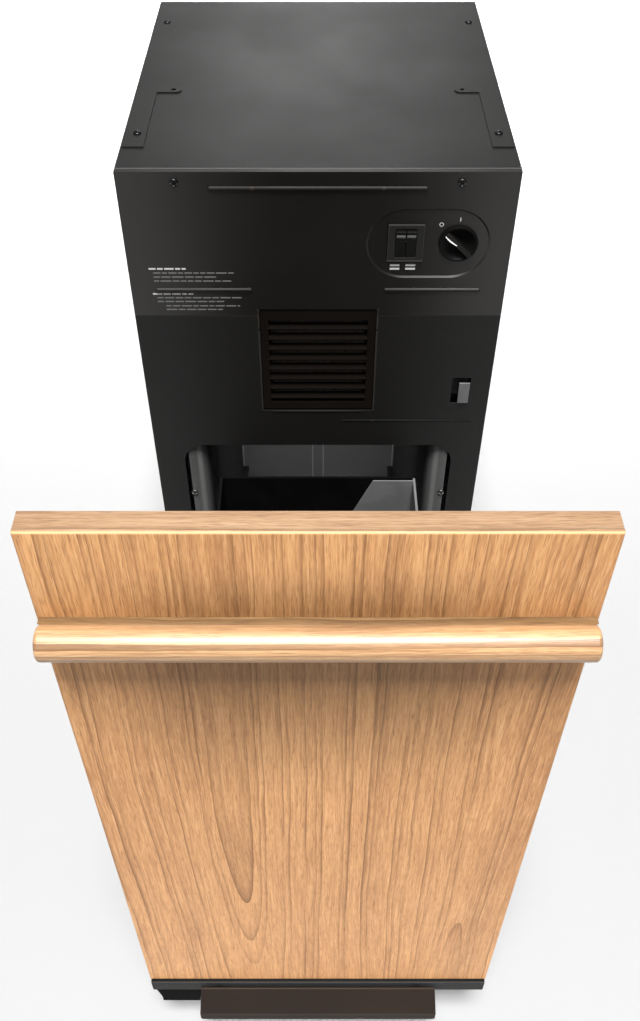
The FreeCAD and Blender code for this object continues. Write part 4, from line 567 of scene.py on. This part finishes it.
def edge_softener(crease):
    """Joins the split corners of an imported mesh and keeps corners over crease degrees sharp."""
    group = bpy.data.node_groups.new(f"join_corners_{crease}", "GeometryNodeTree")
    group.interface.new_socket("Geometry", in_out="INPUT", socket_type="NodeSocketGeometry")
    group.interface.new_socket("Geometry", in_out="OUTPUT", socket_type="NodeSocketGeometry")
    source = group.nodes.new("NodeGroupInput")
    bare = group.nodes.new("GeometryNodeRemoveAttribute")
    bare.inputs["Name"].default_value = "custom_normal"
    merge = group.nodes.new("GeometryNodeMergeByDistance")
    merge.inputs["Distance"].default_value = MERGE_WITHIN
    smooth = group.nodes.new("GeometryNodeSetShadeSmooth")
    angle = group.nodes.new("GeometryNodeInputMeshEdgeAngle")
    test = group.nodes.new("FunctionNodeCompare")
    test.operation = "LESS_THAN"
    test.inputs["B"].default_value = math.radians(crease)
    creases = group.nodes.new("GeometryNodeSetShadeSmooth")
    creases.domain = "EDGE"
    target = group.nodes.new("NodeGroupOutput")
    link = group.links.new
    link(source.outputs[0], bare.inputs["Geometry"])
    link(bare.outputs["Geometry"], merge.inputs["Geometry"])
    link(merge.outputs["Geometry"], smooth.inputs["Geometry"])
    link(smooth.outputs["Geometry"], creases.inputs["Geometry"])
    link(angle.outputs["Unsigned Angle"], test.inputs["A"])
    link(test.outputs["Result"], creases.inputs["Shade Smooth"])
    link(creases.outputs["Geometry"], target.inputs[0])
    return group


JOIN_CORNERS = {crease: edge_softener(crease) for crease in (ALL_FLAT, LOW_CREASE, CREASE)}


def soften(name, width):
    """Rounds a CAD node's hard edges by width in millimetres, as folded, moulded or planed edges are.

    Flat faces are joined first, except round large openings: a face with a hole in it can't be joined
    safely. The front frame's long triangles shade well only when each face stays flat.
    """
    crease = LOW_CREASE if name in SHALLOW_STEPS else CREASE
    if name == "front_frame":
        crease = ALL_FLAT
    node = NODES[name]
    join = node.modifiers.new("join", "NODES")
    join.node_group = JOIN_CORNERS[crease]
    if name not in WITH_OPENINGS:
        flat = node.modifiers.new("flat", "DECIMATE")
        flat.decimate_type = "DISSOLVE"
        flat.angle_limit = math.radians(ONE_PLANE)
    bevel = node.modifiers.new("round", "BEVEL")
    bevel.width = width * MM
    bevel.segments = 2
    bevel.limit_method = "ANGLE"
    bevel.angle_limit = math.radians(CREASE)
    bevel.harden_normals = crease != ALL_FLAT
    bevel.use_clamp_overlap = True
    bevel.miter_outer = "MITER_ARC"


# ---------------------------------------------------------------- mesh helpers
SAME_POINT = 0.0001 * MM
SHARP_FROM = 35  # degrees between two faces of a made piece


def front_place(x, z, out=0.0):
    """A point across, up and out in front of the cabinet's front face, given in millimetres."""
    return Vector((x * MM, FRONT_Y - out * MM, z * MM))


def finished(name, mesh, look, body, replaced=()):
    """A bmesh becomes a piece that rides on a body, and may take the place of CAD nodes."""
    bmesh.ops.remove_doubles(mesh, verts=mesh.verts, dist=SAME_POINT)
    bmesh.ops.recalc_face_normals(mesh, faces=mesh.faces)
    data = bpy.data.meshes.new(name)
    mesh.to_mesh(data)
    mesh.free()
    for face in data.polygons:
        face.use_smooth = True
    data.set_sharp_from_angle(angle=math.radians(SHARP_FROM))
    data.materials.append(look)
    piece = bpy.data.objects.new(name, data)
    bpy.context.scene.collection.objects.link(piece)
    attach(piece, body)
    if replaced:
        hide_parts(*replaced)
    return piece


def axis_frame(at, facing):
    """A matrix that stands at a point with its z axis along facing."""
    return Matrix.Translation(at) @ Vector(facing).to_track_quat("Z", "Y").to_matrix().to_4x4()


def lathe(mesh, outline, place, sides):
    """Turns an outline of (radius, height) in millimetres round the place's own z axis."""
    rings = []
    for radius, height in outline:
        if radius == 0:
            rings.append([mesh.verts.new(place @ Vector((0, 0, height * MM)))])
            continue
        ring = []
        for i in range(sides):
            turn = math.tau * i / sides
            point = Vector((radius * math.cos(turn), radius * math.sin(turn), height))
            ring.append(mesh.verts.new(place @ (point * MM)))
        rings.append(ring)
    for low, high in zip(rings, rings[1:]):
        for i in range(sides):
            j = (i + 1) % sides
            if len(low) == 1:
                mesh.faces.new((low[0], high[j], high[i]))
            elif len(high) == 1:
                mesh.faces.new((low[i], low[j], high[0]))
            else:
                mesh.faces.new((low[i], low[j], high[j], high[i]))
    return rings


def slab(mesh, corner, opposite, round_by=0.0):
    """A block between two corners in metres, with its edges rounded by round_by."""
    made = bmesh.ops.create_cube(mesh, size=1.0)["verts"]
    low, high = Vector(corner), Vector(opposite)
    for vert in made:
        vert.co = Vector(tuple(low[i] + (vert.co[i] + 0.5) * (high[i] - low[i]) for i in range(3)))
    if round_by:
        edges = list({edge for vert in made for edge in vert.link_edges})
        bmesh.ops.bevel(mesh, geom=edges, offset=round_by, segments=2, affect="EDGES", profile=0.5)


def tube(mesh, points, radius, sides=10):
    """A round wire through points in metres, closed at both ends."""
    turns = [math.tau * k / sides for k in range(sides)]
    circle = [Vector((radius * math.cos(turn), radius * math.sin(turn), 0)) for turn in turns]
    rings = []
    for i, point in enumerate(points):
        ahead = points[min(i + 1, len(points) - 1)] - points[max(i - 1, 0)]
        frame_here = axis_frame(point, ahead)
        rings.append([mesh.verts.new(frame_here @ corner) for corner in circle])
    for low, high in zip(rings, rings[1:]):
        for k in range(sides):
            mesh.faces.new((low[k], low[(k + 1) % sides], high[(k + 1) % sides], high[k]))
    mesh.faces.new(rings[0])
    mesh.faces.new(list(reversed(rings[-1])))


# ---------------------------------------------------------------- fasteners
def crossed_head(mesh, at, facing):
    """A pan-head screw with a cross recess. at is under the head."""
    head_r, high, shank_r, shank = 4.0, 2.0, 2.0, 8.0
    recess_half, recess_reach, recess_deep, recess_from = 0.42, 0.62, 1.15, 1.6
    recess_rise = 0.35
    place = axis_frame(at, facing)
    outline = [(0, -shank), (shank_r * 0.6, -shank), (shank_r, -shank + 1.2), (shank_r, 0.0)]
    outline += [(head_r - 0.1, 0.0), (head_r, 0.15), (head_r, 0.75), (head_r * 0.93, 1.35)]
    outline += [(head_r * 0.78, 1.72), (head_r * 0.6, 1.9), (head_r * 0.5, high - 0.05)]
    outline += [(head_r * 0.4, high - 0.02)]
    outline += [(head_r * share, high) for share in (0.3, 0.22, 0.14, 0.07, 0)]
    rings = lathe(mesh, outline, place, sides=48)
    back = place.inverted()
    for ring in rings:
        for vert in ring:
            local = back @ vert.co / MM
            arm = min(abs(local.x), abs(local.y))
            reach = max(abs(local.x), abs(local.y))
            if local.z > recess_from and arm < recess_half and reach < head_r * recess_reach:
                floor = high - recess_deep + recess_rise * reach / head_r
                vert.co = place @ (Vector((local.x, local.y, floor)) * MM)


def cabinet_screws():
    """Two screws in the roof, two in the brackets, two in the front lip and one in each side."""
    mesh = bmesh.new()
    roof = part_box("top_panel")[1].z
    bracket_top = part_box("countertop_brackets")[1].z
    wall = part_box("right_side_panel")[1].x
    roof_x, roof_back = 175.3, 354.7
    bracket_x, bracket_back = 176.0, 73.8
    lip_x, lip_z = 134.6, 856.3
    wall_z, wall_back = 858, {-1: 81.5, 1: 126.7}
    for side in (-1, 1):
        on_roof = (side * roof_x * MM, FRONT_Y + roof_back * MM, roof)
        on_bracket = (side * bracket_x * MM, FRONT_Y + bracket_back * MM, bracket_top)
        on_wall = (side * wall, FRONT_Y + wall_back[side] * MM, wall_z * MM)
        crossed_head(mesh, on_roof, (0, 0, 1))
        crossed_head(mesh, on_bracket, (0, 0, 1))
        crossed_head(mesh, front_place(side * lip_x, lip_z), (0, -1, 0))
        crossed_head(mesh, on_wall, (side, 0, 0))
    look = LOOKS["fastener_black"]
    finished("cabinet_screw_set", mesh, look, "cabinet", ["cabinet_screws"])


def cover_screws():
    """One screw at the foot and one near the head of each screw cover."""
    mesh = bmesh.new()
    face_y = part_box("left_screw_cover")[0].y
    screw_x = 150
    for side in (-1, 1):
        for height in (120, 445.7):
            crossed_head(mesh, (side * screw_x * MM, face_y, height * MM), (0, -1, 0))
    look = LOOKS["fastener_bright"]
    finished("cover_screw_set", mesh, look, "cabinet", ["cover_screws"])


def power_screw(side):
    """A steel screw with a rolled trapezoidal thread of 10 mm lead and plain ends."""
    name = side + "_power_screw"
    low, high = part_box(name)
    centre = (low + high) / 2
    radius = (high.x - low.x) / 2 / MM
    lead, around, steps = 10.0, 20, 8
    thread_deep, crest, steepness = 2.2, 2.4, 8.0
    plain_low, plain_high, plain_step, margin = 40.0, 815.0, 4.0, 2
    foot, head = low.z / MM, high.z / MM
    mesh = bmesh.new()
    rings = []
    height = foot
    while height <= head:
        ring = []
        for i in range(around):
            turn = math.tau * i / around
            phase = (height / lead - i / around) % 1.0
            flank = min(1.0, max(0.0, crest - abs(phase - 0.5) * steepness))
            threaded = plain_low < height < plain_high
            r = radius - thread_deep * (1.0 - flank) if threaded else radius
            x = centre.x + r * math.cos(turn) * MM
            y = centre.y + r * math.sin(turn) * MM
            ring.append(mesh.verts.new((x, y, height * MM)))
        rings.append(ring)
        near_thread = plain_low - margin < height < plain_high + margin
        height += lead / steps if near_thread else plain_step
    for lower, upper in zip(rings, rings[1:]):
        for i in range(around):
            j = (i + 1) % around
            mesh.faces.new((lower[i], lower[j], upper[j], upper[i]))
    mesh.faces.new(list(reversed(rings[0])))
    mesh.faces.new(rings[-1])
    finished(name + "_thread", mesh, LOOKS["screw_steel"], side + "_screw", [name])


def leveling_feet():
    """Moulded pads with hex nuts and threaded stems."""
    mesh = bmesh.new()
    low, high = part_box("leveling_feet")
    pad_r, stem_r, thread_deep, half_pitch = 16.0, 5.0, 0.7, 0.75
    pad = [(0, 0), (15, 0), (pad_r, 0.8), (pad_r, 3.2), (14.6, 4.6), (9, 6), (0, 6)]
    nut = [(0, 6), (7.6, 6), (8.5, 6.6), (8.5, 12.8), (7.6, 13.4), (0, 13.4)]
    thread_low, half_turns = 14, 21
    thread = [
        (stem_r - thread_deep * (i % 2), thread_low + i * half_pitch) for i in range(half_turns)
    ]
    stem = [(0, 13)] + thread + [(0, 29.6)]
    for x in (low.x + pad_r * MM, high.x - pad_r * MM):
        for y in (low.y + pad_r * MM, high.y - pad_r * MM):
            place = Matrix.Translation((x, y, 0))
            lathe(mesh, pad, place, sides=40)
            lathe(mesh, nut, place, sides=6)
            lathe(mesh, stem, place, sides=24)
    look = LOOKS["foot_black"]
    finished("leveling_foot_set", mesh, look, "cabinet", ["leveling_feet"])


def pedal_spring():
    """A wound torsion spring round the pedal shaft."""
    low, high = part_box("pedal_spring")
    axis_y, axis_z = (low.y + high.y) / 2, (low.z + high.z) / 2
    wire = 1.05 * MM
    coil_r = (high.z - low.z) / 2 - wire
    turns, per_turn = 4, 28
    points = []
    for i in range(turns * per_turn + 1):
        turn = math.tau * i / per_turn
        x = low.x + wire + (high.x - low.x - 2 * wire) * i / (turns * per_turn)
        points.append(Vector((x, axis_y + coil_r * math.cos(turn), axis_z + coil_r * math.sin(turn))))
    mesh = bmesh.new()
    tube(mesh, points, wire)
    finished("pedal_torsion_spring", mesh, LOOKS["pin_steel"], "drawer", ["pedal_spring"])


# ---------------------------------------------------------------- controls
KNOB_X, KNOB_Z = 137.5, 791.0
GRIP_TURN = math.radians(45)


def pointer_line():
    """The pale line printed along the upper left flank of the knob's grip."""
    place = Matrix.Translation(front_place(KNOB_X, KNOB_Z)) @ Matrix.Rotation(-GRIP_TURN, 4, "Y")
    mesh = bmesh.new()
    rows = []
    steps = 14
    line_from, line_long = 2.0, 15.0
    start, bow, drift = -0.9, 2.4, 1.2
    half_width, taper = 0.75, 0.35
    grip_face, line_face = -4.0, -4.75
    section = ((-1, grip_face), (1, grip_face), (1, line_face), (-1, line_face))
    for i in range(steps + 1):
        t = i / steps
        along = line_from + line_long * t
        centre = start - bow * (1 - t) * t - drift * t
        half = half_width - taper * abs(2 * t - 1)
        corners = [Vector((centre + side * half, out, along)) for side, out in section]
        rows.append([mesh.verts.new(place @ (corner * MM)) for corner in corners])
    for near, far in zip(rows, rows[1:]):
        for k in range(4):
            mesh.faces.new((near[k], near[(k + 1) % 4], far[(k + 1) % 4], far[k]))
    mesh.faces.new(rows[0])
    mesh.faces.new(list(reversed(rows[-1])))
    finished("key_pointer_line", mesh, INK_BRIGHT, "key")


def rocker_highlight_bars():
    """A pale bar on the upper half of each rocker, as a painted highlight."""
    rest_tilt = Matrix.Rotation(math.radians(6), 4, "X")
    waist, peak, half_high = 3.8, 5.5, 14.7
    pivot_z, pivot_back = 792.1, 3
    highlight_half, highlight_low, highlight_high, thick = 4.3, 7.6, 10.8, 0.3
    proud = 0.12
    slope = (peak - waist) / half_high
    for name in ("pack_rocker", "fan_rocker"):
        low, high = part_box(name)
        middle = (low.x + high.x) / 2 / MM
        pivot = Matrix.Translation(front_place(middle, pivot_z, -pivot_back)) @ rest_tilt
        mesh = bmesh.new()
        # painted highlight: a pale grey bar standing proud on the rocker's upper half
        corner = Vector((-highlight_half, 0, highlight_low)) * MM
        opposite = Vector((highlight_half, thick, highlight_high)) * MM
        slab(mesh, corner, opposite, proud * MM)
        for vert in mesh.verts:
            vert.co.y -= (waist + proud) * MM + slope * vert.co.z
            vert.co = pivot @ vert.co
        finished(name + "_highlight_bar", mesh, ROCKER_HIGHLIGHT_GREY, name)


# ---------------------------------------------------------------- printed marks
INK_OUT, INK_IN = 0.06, 0.02  # how far a mark stands proud of its face and reaches into it
LABEL_FACE = -1.4  # the floor of the recess round the controls, behind the cabinet's front face

# from, to, height and how tall, in millimetres
NOTICE_ROWS = (
    ("heading", -169, -132, 763.0, 1.9),
    ("text", -165, -84, 758.2, 1.5),
    ("text", -165, -100, 753.5, 1.5),
    ("text", -165, -86, 748.8, 1.5),
    ("heading", -168, -127, 733.5, 1.7),
    ("text", -164, -76, 728.9, 1.5),
    ("text", -164, -96, 724.3, 1.5),
    ("text", -156, -80, 719.0, 1.5),
    ("text", -156, -98, 714.6, 1.5),
)
LABEL_BARS = (
    (71.7, 81.2, 766.4, 2.2),
    (71.7, 81.2, 762.3, 2.2),
    (87.1, 97.0, 766.4, 2.2),
    (87.1, 97.0, 762.3, 2.2),
    (136.9, 137.7, 817.0, 4.2),
)
RING_X, RING_Z, RING_R, RING_HOLE_R = 119.4, 811.6, 2.2, 1.5
RING_OUT, RING_SIDES = 0.05, 28


def ink_bar(mesh, left, right, height, tall, face=0.0):
    """A printed bar on a face that stands that far in front of the cabinet's, in millimetres."""
    low = front_place(left, height - tall / 2, face + INK_OUT)
    high = front_place(right, height + tall / 2, face - INK_IN)
    slab(mesh, low, high)


def bar_row(mesh, left, right, height, tall, rng):
    """One line of a printed notice, as plain bars of uneven length with gaps between them."""
    shortest, longest, gap, least_left = 4.5, 12.0, 1.5, 2.0
    at = left
    while at < right - least_left:
        long = min(rng.uniform(shortest, longest), right - at)
        ink_bar(mesh, at, at + long, height, tall)
        at += long + gap


def printed_marks():
    """The notice on the left of the control panel, the switch labels and the key's two stop marks."""
    rng = random.Random(7)
    bright, faint = bmesh.new(), bmesh.new()
    for kind, left, right, height, tall in NOTICE_ROWS:
        bar_row(bright if kind == "heading" else faint, left, right, height, tall, rng)
    for left, right, height, tall in LABEL_BARS:
        ink_bar(bright, left, right, height, tall, LABEL_FACE)
    ring_at = front_place(RING_X, RING_Z, LABEL_FACE + RING_OUT)
    for i in range(RING_SIDES):
        turns = [math.tau * step / RING_SIDES for step in (i, i + 1, i + 1, i)]
        corners = []
        for turn, radius in zip(turns, (RING_R, RING_R, RING_HOLE_R, RING_HOLE_R)):
            outward = Vector((math.cos(turn), 0, math.sin(turn)))
            corners.append(ring_at + outward * radius * MM)
        bright.faces.new([bright.verts.new(corner) for corner in corners])
    finished("printed_headings", bright, INK, "cabinet")
    finished("printed_notices", faint, INK_FAINT, "cabinet")


# ---------------------------------------------------------------- stage
CAMERA_AT = (0, -0.8580, 1.33535)
CAMERA_DOWN = 45.947  # degrees below level
FOCAL, SENSOR = 36.385, 36.0
FLOOR_SIZE, FLOOR_Z = 14.0, -0.2 * MM


def stage():
    """The floor, the lamps, the white surroundings and the camera."""
    bpy.ops.mesh.primitive_plane_add(size=FLOOR_SIZE, location=(0, 0, FLOOR_Z))
    floor = bpy.context.object
    floor.name = "floor"
    floor.data.materials.append(floor_material())

    def area(name, at, toward, size, power, spread=180):
        light = bpy.data.lights.new(name, "AREA")
        light.shape = "RECTANGLE"
        light.size, light.size_y = size
        light.energy = power
        light.spread = math.radians(spread)
        lamp = bpy.data.objects.new(name, light)
        bpy.context.scene.collection.objects.link(lamp)
        lamp.location = at
        lamp.rotation_euler = (Vector(toward) - Vector(at)).to_track_quat("-Z", "Y").to_euler()

    area("key", (0.0, -2.9, 8.9), (0, -0.45, 0.35), (2.2, 2.4), 2150)
    area("front", (0.0, -5.6, 6.6), (0, -0.3, 0.45), (2.4, 1.6), 90)
    area("low_fill", (0.0, -3.2, 0.9), (0, -0.45, 0.0), (1.2, 0.5), 1.2, 22)
    area("in_opening", (0.0, 0.06, 0.515), (0, 0.448, 0.14), (0.16, 0.03), 0.45, 70)
    area("back_top", (0.0, 2.7, 2.05), (0, 0.25, 0.87), (0.8, 0.8), 9)
    area("back_floor", (0.0, 3.4, 3.6), (0, 3.0, 0), (5.0, 2.4), 260, 60)

    world = bpy.data.worlds.new("studio")
    bpy.context.scene.world = world
    world.use_nodes = True
    world.node_tree.nodes["Background"].inputs["Color"].default_value = (1, 1, 1, 1)
    world.node_tree.nodes["Background"].inputs["Strength"].default_value = 0.2

    lens = bpy.data.cameras.new("camera")
    lens.lens = FOCAL
    lens.sensor_width = SENSOR
    lens.shift_x = 0.002
    lens.clip_start = 0.02
    camera = bpy.data.objects.new("camera", lens)
    bpy.context.scene.collection.objects.link(camera)
    camera.location = CAMERA_AT
    camera.rotation_euler = (math.radians(90 - CAMERA_DOWN), 0, 0)
    bpy.context.scene.camera = camera
    bpy.context.scene.view_settings.view_transform = "Standard"


stage()

# the width in millimetres of the rounding on the nodes' hard edges
SOFT_EDGES = {
    0.3: "left_screw_cover right_screw_cover slide_outer_members slide_middle_members "
         "slide_inner_members",
    0.4: "front_frame countertop_brackets left_side_panel right_side_panel back_panel filter_door "
         "pedal_bracket door_pan inner_door_panel drawer_cradle wood_panel",
    0.5: "top_panel key_knob interlock_plunger toe_strip fan_housing drive_plate interlock_switch "
         "rocker_switch_body key_switch_body",
    0.6: "switch_bezel pack_rocker fan_rocker toe_pedal ram_tray ram_beam",
    0.7: "control_panel",
    0.8: "container container_side handle_rail rear_bumpers",
    1.0: "drive_motor",
    1.2: "gear_case",
}
for edge_width, node_names in SOFT_EDGES.items():
    for node_name in node_names.split():
        soften(node_name, edge_width)

cabinet_screws()
cover_screws()
for side_name in ("left", "right"):
    power_screw(side_name)
leveling_feet()
pedal_spring()
pointer_line()
rocker_highlight_bars()
printed_marks()
